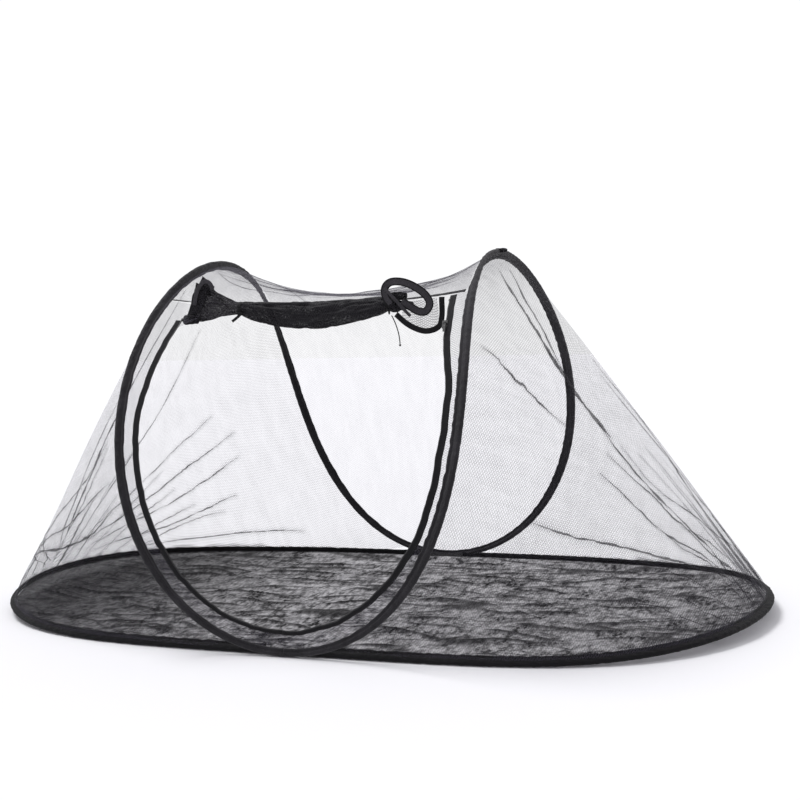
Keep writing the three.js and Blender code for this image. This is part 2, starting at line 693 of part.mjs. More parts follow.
// The pull tab's eye turns on a staple that stands on the slider's face.
const STAPLE = { half: 3.4, radius: 0.6, height: SLIDER_THICKNESS / 2 + 2.2 };
const TAB = { length: 24, width: 5, thickness: 1.2, eye: 1.7, bore: 1 };
{
  const feet = SLIDER_THICKNESS / 2 + GAP;
  const corners = [
    [-STAPLE.half, feet],
    [-STAPLE.half, STAPLE.height],
    [STAPLE.half, STAPLE.height],
    [STAPLE.half, feet],
  ];
  const { along, inward, out, place } = parked;
  const diagonal = (b, c) => inward.clone().multiplyScalar(b).addScaledVector(out, c);
  const turned = [diagonal(-1, 0), diagonal(-1, 1), diagonal(1, 1), diagonal(1, 0)];
  const frames = corners.map(([b, c], i) => ({
    at: place(0, b, c),
    across: turned[i],
    up: along,
  }));
  add("zip_slider_staple", sweep(polygon(STAPLE.radius, 8), frames), "metal");

  const [half, start] = [TAB.thickness / 2, Math.asin(TAB.thickness / 2 / TAB.eye)];
  const side = new THREE.Shape();
  side.absarc(0, 0, TAB.eye, start, -start, false);
  side.lineTo(TAB.length, -half);
  side.lineTo(TAB.length, half);
  side.closePath();
  side.holes.push(new THREE.Path().absarc(0, 0, TAB.bore, 0, 2 * Math.PI, true));
  const tab = new THREE.ExtrudeGeometry(side, {
    depth: TAB.width,
    bevelEnabled: false,
    curveSegments: 10,
  });
  tab.translate(0, 0, -TAB.width / 2);
  const turn = new THREE.Matrix4().makeBasis(along, out, along.clone().cross(out));
  tab.applyMatrix4(turn.setPosition(place(0, 0, STAPLE.height)));
  add("zip_pull", tab, "metal");
}

// Blocks clamped on the tape's ends keep the slider on.
for (const [word, side] of Object.entries(SIDES)) {
  const stop = track(ZIP_TOP[word] + 0.06, side);
  const frames = [-2.5, 2.5].map((a) => crossSection(stop, a));
  add("zip_stop_" + word, sweep(rectangle([3.2, 4.6]), frames), "metal");
}

export default part;
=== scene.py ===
import math

import bmesh
import bpy
import numpy as np
from mathutils import Matrix, Vector


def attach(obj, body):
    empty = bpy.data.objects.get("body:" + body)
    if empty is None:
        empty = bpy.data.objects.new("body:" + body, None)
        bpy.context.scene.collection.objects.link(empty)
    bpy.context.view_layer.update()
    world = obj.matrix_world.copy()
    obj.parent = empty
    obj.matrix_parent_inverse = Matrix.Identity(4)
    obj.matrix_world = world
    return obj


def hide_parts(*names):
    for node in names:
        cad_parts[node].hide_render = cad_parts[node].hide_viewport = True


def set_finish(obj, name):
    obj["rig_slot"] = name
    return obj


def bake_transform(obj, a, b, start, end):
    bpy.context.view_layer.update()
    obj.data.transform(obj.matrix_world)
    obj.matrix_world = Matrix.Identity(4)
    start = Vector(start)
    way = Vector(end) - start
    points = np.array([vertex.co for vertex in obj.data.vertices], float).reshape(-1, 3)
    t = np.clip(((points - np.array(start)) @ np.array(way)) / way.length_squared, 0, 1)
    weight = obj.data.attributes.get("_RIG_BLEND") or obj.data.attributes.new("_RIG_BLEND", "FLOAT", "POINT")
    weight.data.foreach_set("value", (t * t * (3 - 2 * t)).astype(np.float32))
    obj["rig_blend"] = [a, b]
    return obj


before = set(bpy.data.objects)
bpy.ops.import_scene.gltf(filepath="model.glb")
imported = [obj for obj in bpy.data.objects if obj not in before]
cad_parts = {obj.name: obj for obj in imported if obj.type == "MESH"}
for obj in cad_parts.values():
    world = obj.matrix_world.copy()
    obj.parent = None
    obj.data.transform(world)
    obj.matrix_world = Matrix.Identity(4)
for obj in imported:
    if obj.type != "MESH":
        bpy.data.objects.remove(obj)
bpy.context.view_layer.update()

# ---- Driving dimensions, in metres, as in the CAD ----

BASE_HALF_LENGTH = 0.894
BASE_HALF_WIDTH = 0.494
TIP_LIFT = 0.025
FLAT_HALF_LENGTH = 0.450
TIP_GATHER = 1.25
HOOP_HEIGHT = 0.790
HOOP_HALF_DEPTH = 0.5065
HOOP_SPREAD = 0.438
HOOP_PINCH = 0.093
HOOP_SQUARENESS = -0.13
HOOP_LEAN = -0.03
HOOP_START = 0.00005
WIRE_CENTRE = 0.006
LIP_REACH = 0.016
EDGE_IN_SLEEVE = 0.0055
RIDGE_SAG = 0.085
SAG_FADE = math.radians(17)
SAG_POWER = 2.6
STATION = math.pi / 40
SEAM_ANGLE = 16 * STATION
SEAM_CLEARANCE = 0.09 * STATION
ZIP_INSET = 0.042
ZIP_TAPE_WIDTH = 0.014
COIL_LINE = 0.00895
ZIP_NARROWER = 0.012
ZIP_WIDER = 0.024
ZIP_TOP = {"right": 15.9 * STATION, "left": 15 * STATION}
ROLL_LEFT = -0.187
ROLL_RIGHT = 0.157
ROLL_DROP = (-0.026, -0.007)
ROLL_SAG = 0.016
BUNCH_END = (-0.300, -0.028, 0.003)
BUNCH_SLOPE = math.radians(20)
FOOT_HALF = 0.050
NETTING_EDGE = LIP_REACH - 0.0035
TAPE_THICKNESS = 0.0013
SIDES = {"right": 1, "left": -1}

# The cord that hangs from the right-hand tie: x, then how far behind and above the seam there.
CORD_DIAMETER = 0.0022
CORD_TWIST = 0.004
CORD_ROUTE = [
    (0.1680, -0.0420, -0.032), (0.1703, -0.0421, -0.036), (0.1723, -0.0422, -0.040),
    (0.1741, -0.0423, -0.044), (0.1758, -0.0424, -0.048), (0.1773, -0.0425, -0.052),
    (0.1787, -0.0426, -0.056), (0.1800, -0.0427, -0.060), (0.1811, -0.0428, -0.064),
    (0.1821, -0.0428, -0.068), (0.1830, -0.0429, -0.072), (0.1837, -0.0429, -0.076),
    (0.1843, -0.0430, -0.080), (0.1847, -0.0430, -0.084), (0.1850, -0.0430, -0.088),
    (0.1851, -0.0430, -0.092),
]

# ---- The shared shape ----

FRONT = np.array([0.0, -1.0, 0.0])
UP = np.array([0.0, 0.0, 1.0])


def stack(*parts):
    return np.stack(np.broadcast_arrays(*parts), -1)


def unit(v):
    return v / np.maximum(np.linalg.norm(v, axis=-1, keepdims=True), 1e-12)


def profile_y(a):
    return -HOOP_HALF_DEPTH * (np.cos(a) + HOOP_SQUARENESS * np.cos(3 * a)) / (1 + HOOP_SQUARENESS)


def profile_z(a):
    return WIRE_CENTRE + HOOP_HEIGHT * np.sin(a) ** 2


def lean(a):
    return HOOP_LEAN * (profile_z(a) - WIRE_CENTRE)


def half_width(a):
    return HOOP_SPREAD * np.sin(a) + HOOP_PINCH * np.sin(3 * a)


def hoop(a, side):
    """The hoop's wire, from the front foot at 0 over a peak to the back foot at pi."""
    return stack(lean(a) + side * half_width(a), profile_y(a), profile_z(a))


def canopy(x, a):
    """The netting that hangs between the hoop's two halves, with its sag at the ridge."""
    step = 1e-3
    inward_y = profile_z(a + step) - profile_z(a - step)
    inward_z = profile_y(a - step) - profile_y(a + step)
    off = np.clip(np.abs(x - lean(a)) / np.maximum(half_width(a), 1e-3), 0, 1)
    fade = hump(a - math.pi / 2, SAG_FADE)
    sag = RIDGE_SAG * fade * (1 - off**SAG_POWER) / np.hypot(inward_y, inward_z)
    return stack(x, profile_y(a) + inward_y * sag, profile_z(a) + inward_z * sag)


PROFILE_ANGLES = np.linspace(0, math.pi, 2001)
PROFILE_STEPS = np.hypot(np.diff(profile_y(PROFILE_ANGLES)), np.diff(profile_z(PROFILE_ANGLES)))
PROFILE_LENGTHS = np.concatenate([[0], np.cumsum(PROFILE_STEPS)])


def inset(a, side, distance):
    """x and angle of the point of the netting that lies this far in from the hoop's edge."""
    step = 5e-4
    dx = hoop(a + step, side)[..., 0] - hoop(a - step, side)[..., 0]
    ds = np.hypot(profile_y(a + step) - profile_y(a - step), profile_z(a + step) - profile_z(a - step))
    scale = side * distance / np.hypot(dx, ds)
    along = np.interp(a, PROFILE_ANGLES, PROFILE_LENGTHS) + dx * scale
    return hoop(a, side)[..., 0] - ds * scale, np.interp(along, PROFILE_LENGTHS, PROFILE_ANGLES)


def net(a, side, distance):
    return canopy(*inset(a, side, distance))


def hump(off, width):
    """A bell of height 1 that falls away on both sides of off = 0."""
    return np.exp(-((off / width) ** 2))


def smooth(value, start, end):
    share = np.clip((value - start) / (end - start), 0, 1)
    return share * share * (3 - 2 * share)


def zip_inset(a, side):
    """How far the middle of the zip tape is in from the hoop."""
    station = a / STATION
    narrower = smooth(station, 3, 8) * (1 - smooth(station, 12, 14))
    wider = smooth(station, 10.5, 15)
    return ZIP_INSET + (-ZIP_NARROWER * narrower if side > 0 else ZIP_WIDER * wider)


def foot_taper(a):
    """How much of the full width the binding and the zip tape show beside the feet."""
    return 0.68 + 0.32 * smooth(np.minimum(a, math.pi - a) / STATION, 2, 8)


def lift(x):
    past = np.maximum(0, np.abs(x) - FLAT_HALF_LENGTH)
    return TIP_LIFT * (past / (BASE_HALF_LENGTH - FLAT_HALF_LENGTH)) ** 2


RIM_ANGLES = np.pi / 2 * np.sin(np.linspace(-np.pi / 2, np.pi / 2, 4001))


def rim_point(angle, side):
    x = side * BASE_HALF_LENGTH * np.sqrt(np.maximum(np.cos(angle), 0))
    return stack(x, BASE_HALF_WIDTH * np.sin(angle), WIRE_CENTRE + lift(x))


RIM_STEPS = np.linalg.norm(np.diff(rim_point(RIM_ANGLES, 1), axis=0), axis=1)
RIM_LENGTHS = np.concatenate([[0], np.cumsum(RIM_STEPS)])
RIM_LENGTH = RIM_LENGTHS[-1]
FOOT_SHARE = FOOT_HALF / RIM_LENGTH


def base(share, side):
    """Half of the base wire, from the front foot at 0 past the tip to the back foot at 1."""
    return rim_point(np.interp(share * RIM_LENGTH, RIM_LENGTHS, RIM_ANGLES), side)


def base_inset(share, side, distance):
    step = 1e-3
    travel = base(np.minimum(share + step, 1), side) - base(np.maximum(share - step, 0), side)
    inward = unit(stack(-side * travel[..., 1], side * travel[..., 0], 0 * travel[..., 0]))
    place = base(share, side) + inward * np.asarray(distance)[..., None]
    place[..., 2] = WIRE_CENTRE + lift(place[..., 0])
    return place


def by_seam(x, y, z):
    """A place near the seam between roof and door, so far behind and above it."""
    return canopy(np.asarray(x, float), SEAM_ANGLE) + stack(0.0, y, z)


# ---- Camera ----

IMAGE_SIZE = 800
AZIMUTH, ELEVATION, ROLL = (math.radians(x) for x in (20.974, 5.094, -2.198))
DISTANCE = 3.332
FOCAL_PIXELS = 1426.4
AIM_RIGHT, AIM_UP = 0.053, 0.466


def add_object(name, data):
    made = bpy.data.objects.new(name, data)
    bpy.context.scene.collection.objects.link(made)
    return made


def make_camera():
    flat = math.cos(ELEVATION)
    back = Vector((math.sin(AZIMUTH) * flat, -math.cos(AZIMUTH) * flat, math.sin(ELEVATION)))
    level = Vector((math.cos(AZIMUTH), math.sin(AZIMUTH), 0))
    upright = back.cross(level)
    right = level * math.cos(ROLL) + upright * math.sin(ROLL)
    up = upright * math.cos(ROLL) - level * math.sin(ROLL)
    data = bpy.data.cameras.new("camera")
    data.sensor_width = 36
    data.lens = FOCAL_PIXELS * data.sensor_width / IMAGE_SIZE
    camera = add_object("camera", data)
    turn = Matrix((right, up, back)).transposed().to_4x4()
    place = right * AIM_RIGHT + up * AIM_UP + back * DISTANCE
    camera.matrix_world = Matrix.Translation(place) @ turn
    bpy.context.scene.camera = camera


# ---- Materials ----

NET_PITCH = 0.0046
FLOOR_THREAD = 0.0016


class Nodes:
    """A material's node tree, with short calls for the few node types used here. Inputs go by
    their names, with _ for each space."""

    def __init__(self, name, roughness, metallic=0.0):
        self.material = bpy.data.materials.new(name)
        self.material.use_nodes = True
        self.tree = self.material.node_tree
        self.shader = self.tree.nodes["Principled BSDF"]
        self.look(Roughness=roughness, Metallic=metallic)
        self.uv = self.add("UVMap").outputs[0]
        self.place = self.add("TexCoord").outputs["Object"]

    def put(self, socket, value):
        if hasattr(value, "is_output"):
            self.tree.links.new(value, socket)
        else:
            socket.default_value = value

    def fill(self, node, inputs):
        for name, value in inputs.items():
            self.put(node.inputs[name.replace("_", " ")], value)
        return node

    def add(self, kind, **inputs):
        return self.fill(self.tree.nodes.new("ShaderNode" + kind), inputs)

    def look(self, **inputs):
        self.fill(self.shader, inputs)

    def math(self, operation, *values):
        node = self.add("Math")
        node.operation = operation
        for socket, value in zip(node.inputs, values):
            self.put(socket, value)
        return node.outputs[0]

    def axis(self, vector, name):
        return self.add("SeparateXYZ", Vector=vector).outputs[name]

    def scaled(self, vector, scale, turn=0.0):
        return self.add("Mapping", Vector=vector, Scale=scale, Rotation=(0, 0, turn)).outputs[0]

    def noise(self, vector, scale, detail=3.0, roughness=0.5):
        node = self.add("TexNoise", Vector=vector, Scale=scale, Detail=detail, Roughness=roughness)
        return node.outputs["Fac"]

    def bands(self, vector, pitch, axis):
        """Rounded ridges that repeat every pitch metres along the vector's axis, from 0 to 1."""
        turns = self.math("MULTIPLY", self.axis(vector, axis), 2 * math.pi / pitch)
        return self.math("MULTIPLY_ADD", self.math("SINE", turns), 0.5, 0.5)

    def mixed(self, share, low, high):
        node = self.add("Mix")
        node.data_type = "RGBA"
        self.put(node.inputs["Factor"], share)
        node.inputs[6].default_value = (*low, 1)
        node.inputs[7].default_value = (*high, 1)
        return node.outputs[2]

    def range(self, value, low, high, to_low=0.0, to_high=1.0):
        ends = {"From_Min": low, "From_Max": high, "To_Min": to_low, "To_Max": to_high}
        return self.add("MapRange", Value=value, **ends).outputs[0]

    # The layers attribute: how many layers deep the netting lies, and on the floor the painted shade of its
    # creases.
    def layers(self):
        node = self.add("Attribute")
        node.attribute_name = "layers"
        return self.math("MAXIMUM", node.outputs["Fac"], 1.0)

    def bump(self, height, distance, strength=1.0):
        node = self.add("Bump", Height=height, Distance=distance, Strength=strength)
        self.look(Normal=node.outputs[0])


def woven(name, dark, light, pitch, roughness, sheen, height=0.0002):
    """Plain-woven cloth: crossing threads, a soft fleck and lighter worn places."""
    n = Nodes(name, roughness)
    warp, weft = n.bands(n.uv, pitch, "X"), n.bands(n.uv, pitch, "Y")
    weave = n.math("ABSOLUTE", n.math("SUBTRACT", warp, weft))
    fleck = n.noise(n.uv, 420, 4)
    wear = n.noise(n.place, 14, 4, 0.6)
    share = n.math("ADD", n.math("MULTIPLY", weave, 0.35), n.range(fleck, 0.35, 0.75, 0, 0.35))
    share = n.math("ADD", share, n.range(wear, 0.45, 0.7, 0, 0.3))
    n.look(Base_Color=n.mixed(share, dark, light), Specular_IOR_Level=0.2)
    n.look(Roughness=n.range(wear, 0.3, 0.7, roughness - 0.12, min(roughness + 0.1, 1)))
    n.look(Sheen_Weight=sheen, Sheen_Roughness=0.5)
    n.bump(n.math("ADD", weave, n.math("MULTIPLY", fleck, 0.5)), height)
    return n.material


def netting(name, thin, thick, dark, lit):
    """Knitted netting: threads round open cells. Where the cloth is gathered, its attribute
    says how many layers deep it is."""
    n = Nodes(name, 0.75)
    rows = n.bands(n.scaled(n.uv, (1, 1, 1), math.radians(28)), NET_PITCH, "Y")
    columns = n.bands(n.scaled(n.uv, (1, 1, 1), math.radians(-33)), NET_PITCH * 0.93, "Y")
    thread = n.math("POWER", n.math("MAXIMUM", rows, columns), 7.0)
    knots = n.noise(n.uv, 260, 3, 0.6)
    streaks = n.noise(n.scaled(n.uv, (1.0, 0.25, 1)), 40, 4, 0.6)
    uneven = n.math("ADD", n.range(streaks, 0.35, 0.7, 0.62, 1.02), n.range(knots, 0.35, 0.65, 0, 0.45))
    one = n.math("MULTIPLY", n.range(thread, 0, 1, thin, thick), uneven)
    through = n.math("SUBTRACT", 1.0, n.math("MINIMUM", one, 0.98))
    n.look(Alpha=n.math("SUBTRACT", 1.0, n.math("POWER", through, n.layers())))
    n.look(Base_Color=n.mixed(thread, dark, lit), Specular_IOR_Level=0.2)
    n.look(Sheen_Weight=0.04, Sheen_Roughness=0.5)
    n.bump(thread, 0.0002, 0.5)
    return n.material


def floor_cloth():
    """Thin dark woven cloth, mottled and crushed, a little see-through, darker towards the left
    end. Its layers attribute is over 1 along the creases, where it darkens the colour as painted shade."""
    n = Nodes("floor_cloth", 0.75)
    fine = n.noise(n.scaled(n.place, (26, 17, 20)), 1.0, 7, 0.72)
    specks = n.noise(n.scaled(n.place, (1, 0.4, 1)), 130, 3, 0.6)
    patches = n.noise(n.scaled(n.place, (1, 1.2, 1)), 5, 3)
    weave = n.math("MULTIPLY", n.bands(n.uv, FLOOR_THREAD, "X"), n.bands(n.uv, FLOOR_THREAD, "Y"))
    share = n.math("ADD", n.range(fine, 0.40, 0.62, 0.0, 0.66), n.range(specks, 0.44, 0.62, 0, 0.50))
    share = n.math("ADD", share, n.range(patches, 0.35, 0.65, -0.12, 0.16))
    share = n.math("MULTIPLY", share, n.range(n.axis(n.place, "X"), -0.72, -0.15, 0.16, 1.0))
    # Painted shade: the colour is divided by the layers attribute, which is over 1 along the creases.
    lightness = n.math("DIVIDE", n.math("MAXIMUM", share, 0.0), n.math("POWER", n.layers(), 1.6))
    colour = n.mixed(n.math("MINIMUM", lightness, 1.0), (0.005, 0.0046, 0.0055), (0.560, 0.552, 0.568))
    n.look(Base_Color=colour, Alpha=n.range(weave, 0, 1, 0.93, 0.99), Specular_IOR_Level=0.08)
    n.bump(n.math("ADD", fine, n.math("MULTIPLY", specks, 0.4)), 0.0035)
    return n.material


def metal(name, colour, worn, roughness):
    n = Nodes(name, roughness, 1.0)
    scratches = n.noise(n.scaled(n.place, (30, 30, 400)), 6, 5, 0.7)
    spots = n.noise(n.place, 90, 3)
    n.look(Base_Color=n.mixed(n.range(spots, 0.4, 0.7), colour, worn))
    n.look(Roughness=n.range(scratches, 0.3, 0.7, roughness - 0.12, roughness + 0.15))
    n.bump(scratches, 0.0001, 0.4)
    return n.material


def nylon(name, colour, lit, roughness=0.4):
    n = Nodes(name, roughness)
    spots = n.noise(n.place, 300, 3)
    n.look(Base_Color=n.mixed(n.range(spots, 0.4, 0.7), colour, lit))
    n.look(Roughness=n.range(spots, 0.3, 0.7, roughness - 0.08, roughness + 0.1))
    n.bump(spots, 0.0001, 0.3)
    return n.material


BINDING = woven("binding_cloth", (0.005, 0.0048, 0.0055), (0.070, 0.066, 0.076), 0.0011, 0.75, 0.12)
BASE_BINDING = woven("base_binding_cloth", (0.003, 0.0028, 0.0033), (0.020, 0.019, 0.022), 0.0011, 0.85, 0.04)
TAPE = woven("zip_tape_cloth", (0.004, 0.004, 0.0045), (0.028, 0.027, 0.031), 0.0008, 0.8, 0.05)
LOOSE_TAPE = woven("loose_tape_cloth", (0.012, 0.0115, 0.013), (0.150, 0.142, 0.160), 0.0026, 0.8, 0.05)
TIE = woven("tie_cloth", (0.004, 0.004, 0.0045), (0.028, 0.027, 0.030), 0.0009, 0.8, 0.08)
THREAD = woven("sewing_thread", (0.01, 0.0095, 0.011), (0.06, 0.057, 0.064), 0.0004, 0.6, 0.1, 0.0001)
NETTING = netting("netting_cloth", 0.045, 0.41, (0.026, 0.024, 0.032), (0.056, 0.052, 0.066))
PALE_NETTING = netting("pale_netting_cloth", 0.055, 0.24, (0.075, 0.070, 0.095), (0.150, 0.142, 0.175))
FOLDS = netting("folded_netting_cloth", 0.38, 0.72, (0.014, 0.013, 0.016), (0.060, 0.056, 0.066))
ROLLED = netting("rolled_netting_cloth", 0.93, 0.99, (0.005, 0.0046, 0.006), (0.030, 0.028, 0.034))
BUNCHED = netting("bunched_netting_cloth", 0.80, 0.97, (0.006, 0.0056, 0.007), (0.060, 0.056, 0.066))
FLOOR = floor_cloth()
STEEL = metal("spring_steel", (0.50, 0.50, 0.52), (0.34, 0.33, 0.33), 0.35)
CRIMP = metal("crimped_steel", (0.38, 0.38, 0.40), (0.25, 0.25, 0.25), 0.45)
ZIP_METAL = nylon("zip_lacquer", (0.012, 0.012, 0.013), (0.045, 0.043, 0.046), 0.62)
COIL = nylon("zip_coil_nylon", (0.014, 0.014, 0.015), (0.035, 0.034, 0.036))

# ---- Mesh helpers ----


def waves(u, v, seed, count, low, high, along=1.0):
    """Smooth random height from -1 to 1 out of waves between low and high metres long. along over
    1 draws them out along v."""
    rng = np.random.default_rng(seed)
    total = np.zeros(np.broadcast(u, v).shape)
    for _ in range(count):
        turn = rng.uniform(0, 2 * math.pi)
        size = 2 * math.pi / rng.uniform(low, high)
        phase = rng.uniform(0, 2 * math.pi)
        total += np.cos(size * (math.cos(turn) * u + math.sin(turn) * v / along) + phase)
    return total / math.sqrt(count)


def make_piece(name, points, faces, uvs, material, slot):
    """A mesh from points, faces as a list of index arrays, and one UV in metres for each point."""
    mesh = bpy.data.meshes.new(name)
    mesh.from_pydata(points.tolist(), [], [list(map(int, f)) for f in faces])
    layer = mesh.uv_layers.new(name="UVMap")
    corners = np.empty(len(mesh.loops), dtype=np.int32)
    mesh.loops.foreach_get("vertex_index", corners)
    layer.data.foreach_set("uv", np.asarray(uvs, float)[corners].ravel())
    mesh.polygons.foreach_set("use_smooth", [True] * len(mesh.polygons))
    mesh.materials.append(material)
    mesh.validate()
    piece = add_object(name, mesh)
    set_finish(piece, slot)
    return piece


def grid_faces(rows, columns, wrapped=False):
    i = np.arange(rows - 1)[:, None] * columns
    j = np.arange(columns if wrapped else columns - 1)[None, :]
    k = (j + 1) % columns
    return stack(i + j, i + k, i + columns + k, i + columns + j).reshape(-1, 4)


def tube_faces(rows, count, first=0):
    """The faces of a tube of rows rings, and a cap at each end."""
    ring = np.arange(count) + first
    return [*(grid_faces(rows, count, wrapped=True) + first), ring[::-1], ring + (rows - 1) * count]


def lengths_along(points, axis):
    steps = np.linalg.norm(np.diff(points, axis=axis), axis=-1)
    total = np.cumsum(steps, axis=axis)
    first = np.zeros_like(np.take(total, [0], axis=axis))
    return np.concatenate([first, total], axis=axis)


def sampled(at, length, values):
    """Values that go with the lengths along a line, read off at other lengths."""
    return stack(*(np.interp(at, length, column) for column in values.T))


def normals_of(points):
    return unit(np.cross(np.gradient(points, axis=1), np.gradient(points, axis=0)))


def flat_grid(points):
    """A rough flat layout of a grid of points, for cloth that is nearly a rectangle."""
    u, v = lengths_along(points, 1), lengths_along(points, 0)
    return stack(u - u.mean(1, keepdims=True) + u.mean(), v)


def flat_canopy(x, a):
    """The canopy bends almost one way only, so x against the length of its profile lays it flat."""
    return stack(x, np.interp(a, PROFILE_ANGLES, PROFILE_LENGTHS))


def flat_fan(high, low, rows):
    """Unrolls the strip between two rails into the plane, one straight ruling after another."""
    rulings = np.linalg.norm(low - high, axis=-1)
    tops, ends = [np.zeros(2)], [np.array([0.0, -rulings[0]])]
    for i in range(len(high) - 1):
        top, end = tops[-1], ends[-1]
        down = (end - top) / rulings[i]
        side = np.array([-down[1], down[0]])
        spine = (low[i] - high[i]) / rulings[i]
        for rail, placed in ((high, tops), (low, ends)):
            away = rail[i + 1] - high[i]
            along = float(away @ spine)
            placed.append(top + down * along + side * float(np.linalg.norm(away - along * spine)))
    v = np.asarray(rows).reshape(-1, 1, 1)
    return np.array(tops)[None] * (1 - v) + np.array(ends)[None] * v


def cloth_piece(name, points, material, slot, flat=None, layers=1.0):
    """A single layer of cloth through a grid of points. Its UV is its flat cut in metres.
    layers says how many layers deep it lies at each point, where it is gathered; on the floor it holds the
    painted shade of the creases instead."""
    uvs = (flat_grid(points) if flat is None else flat).reshape(-1, 2)
    rows, columns = points.shape[:2]
    faces = grid_faces(rows, columns)
    piece = make_piece(name, points.reshape(-1, 3), faces, uvs, material, slot)
    depth = np.broadcast_to(layers, (rows, columns)).astype(np.float32)
    piece.data.attributes.new("layers", "FLOAT", "POINT").data.foreach_set("value", depth.ravel())
    return piece


def swept_piece(name, line, across, section, material, slot, capped=True):
    """A closed section carried along a line. section is (rows, count, 2) or (count, 2): how far
    each point is across and up."""
    tangent = unit(np.gradient(line, axis=0))
    across = unit(across - (across * tangent).sum(-1, keepdims=True) * tangent)
    up = np.cross(tangent, across)
    section = np.broadcast_to(section, (len(line), *np.shape(section)[-2:]))
    points = line[:, None] + across[:, None] * section[..., :1] + up[:, None] * section[..., 1:]
    rows, count = points.shape[:2]
    around = lengths_along(np.concatenate([points, points[:, :1]], 1), 1)[:, :count]
    uvs = stack(around, lengths_along(line, 0)[:, None]).reshape(-1, 2)
    faces = tube_faces(rows, count) if capped else grid_faces(rows, count, wrapped=True)
    return make_piece(name, points.reshape(-1, 3), faces, uvs, material, slot)


def curve_through(points, count):
    """Points spaced evenly along a smooth curve through a few given ones."""
    p = np.asarray(points, float)
    p = np.concatenate([[2 * p[0] - p[1]], p, [2 * p[-1] - p[-2]]])
    t = np.linspace(0, 1, 40, endpoint=False)[:, None]
    made = []
    for a, b, c, d in zip(p, p[1:], p[2:], p[3:]):
        square, cube = 2 * a - 5 * b + 4 * c - d, 3 * b - a - 3 * c + d
        made.append(0.5 * (2 * b + (c - a) * t + square * t**2 + cube * t**3))
    fine = np.concatenate([*made, p[-2:-1]])
    length = lengths_along(fine, 0)
    return sampled(np.linspace(0, length[-1], count), length, fine)


def seam_curve(route, count):
    return curve_through([by_seam(*place) for place in route], count)


def full_turn(count):
    return np.linspace(0, 2 * math.pi, count, endpoint=False)[None, :]


def oval(turn, shape, wide, high):
    return stack(shape * np.cos(turn) * wide, shape * np.sin(turn) * high)


def circle(radius, count):
    return oval(full_turn(count)[0], 1, 1, 1) * radius


# ---- The fold ----

# Everything soft on the hoop turns about the line through the two feet. A piece that spans both
# halves is cut along the planes through that line and the hoop's two halves. Each wedge bends
# between two bodies, over a range of angles.
RIGHT_ANGLE = math.radians(67.9)
LEFT_ANGLE = math.radians(115.0)
CLOSE_TO_HOOP = math.radians(6)
MIDDLE_BEND = (math.radians(78), math.radians(109))
WEDGES = {
    "right": (None, RIGHT_ANGLE, "base_right", "hoop_right", 0, RIGHT_ANGLE - CLOSE_TO_HOOP),
    "middle": (RIGHT_ANGLE, LEFT_ANGLE, "hoop_right", "hoop_left", *MIDDLE_BEND),
    "left": (LEFT_ANGLE, None, "hoop_left", "base_left", LEFT_ANGLE + CLOSE_TO_HOOP, math.pi),
}


def cut(bm, angle, keep_above):
    normal = Vector((-math.sin(angle), 0, math.cos(angle)))
    bmesh.ops.bisect_plane(
        bm,
        geom=[*bm.verts, *bm.edges, *bm.faces],
        dist=1e-6,
        plane_co=(0, 0, WIRE_CENTRE),
        plane_no=normal if keep_above else -normal,
        clear_inner=True,
    )


def wedge_of(piece, wedge, bm):
    *_, body_a, body_b, start, end = WEDGES[wedge]
    name = f"{piece.name}.{wedge}"
    mesh = bpy.data.meshes.new(name)
    bm.to_mesh(mesh)
    mesh.materials.append(piece.data.materials[0])
    part = add_object(name, mesh)
    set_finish(part, piece["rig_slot"])
    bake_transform(part, body_a, body_b, start=(1, 0, 0), end=(-1, 0, 0))
    at = np.array([v.co for v in mesh.vertices])
    polar = np.arctan2(at[:, 2] - WIRE_CENTRE, at[:, 0])
    polar = np.where(polar < -math.pi / 2, polar + 2 * math.pi, polar)
    weight = np.clip((polar - start) / (end - start), 0, 1)
    mesh.attributes["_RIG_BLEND"].data.foreach_set("value", weight.astype(np.float32))
    return part


def folded(piece, wedges=tuple(WEDGES)):
    """Cuts a finished piece into its wedges and lets each bend with the fold."""
    made = []
    for wedge in wedges:
        bm = bmesh.new()
        bm.from_mesh(piece.data)
        for angle, keep_above in zip(WEDGES[wedge], (True, False)):
            if angle is not None and len(wedges) > 1:
                cut(bm, angle, keep_above)
        if bm.faces:
            made.append(wedge_of(piece, wedge, bm))
        bm.free()
    bpy.data.objects.remove(piece)
    return made


def stand_in(piece, wedges=tuple(WEDGES)):
    """Folds a piece that takes the place of the CAD node its name begins with."""
    node = piece.name.split(".")[0]
    parts = folded(piece, wedges)
    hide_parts(node)
    return parts


# ---- Gathered netting ----


def crumpled(turn, s, seed, deep):
    """How far a gathered bundle of netting stands out or in at each place round and along it."""
    pleats = 0.5 * np.cos(7 * turn + 22 * s) + 0.4 * np.cos(12 * turn - 35 * s + 2)
    creases = waves(turn * 0.03, s, seed, 22, 0.009, 0.030, along=3.0)
    sharp = np.sign(creases) * np.abs(creases) ** 0.8
    return deep * (pleats + sharp)


def crumpled_ball(name, centre, size, seed):
    """A small lump of gathered netting that reaches so far along, in depth and in height."""
    v = np.linspace(0.02, math.pi - 0.02, 30)
    line = centre + stack(-np.cos(v) * size[0], 0 * v, 0 * v)
    turn = full_turn(44)
    lobes = 0.26 * np.cos(2 * turn + seed + v[:, None]) + 0.20 * np.cos(3 * turn - 1.7 * v[:, None])
    creases = np.clip(crumpled(turn, v[:, None] * size[0], seed, 0.16), -0.4, 0.2)
    shape = np.sin(v)[:, None] ** 0.7 * (0.85 + lobes + creases)
    section = oval(turn, shape, size[2], size[1])
    return swept_piece(name, line, UP, section, ROLLED, "rolled_netting")


# ---- Cord ----


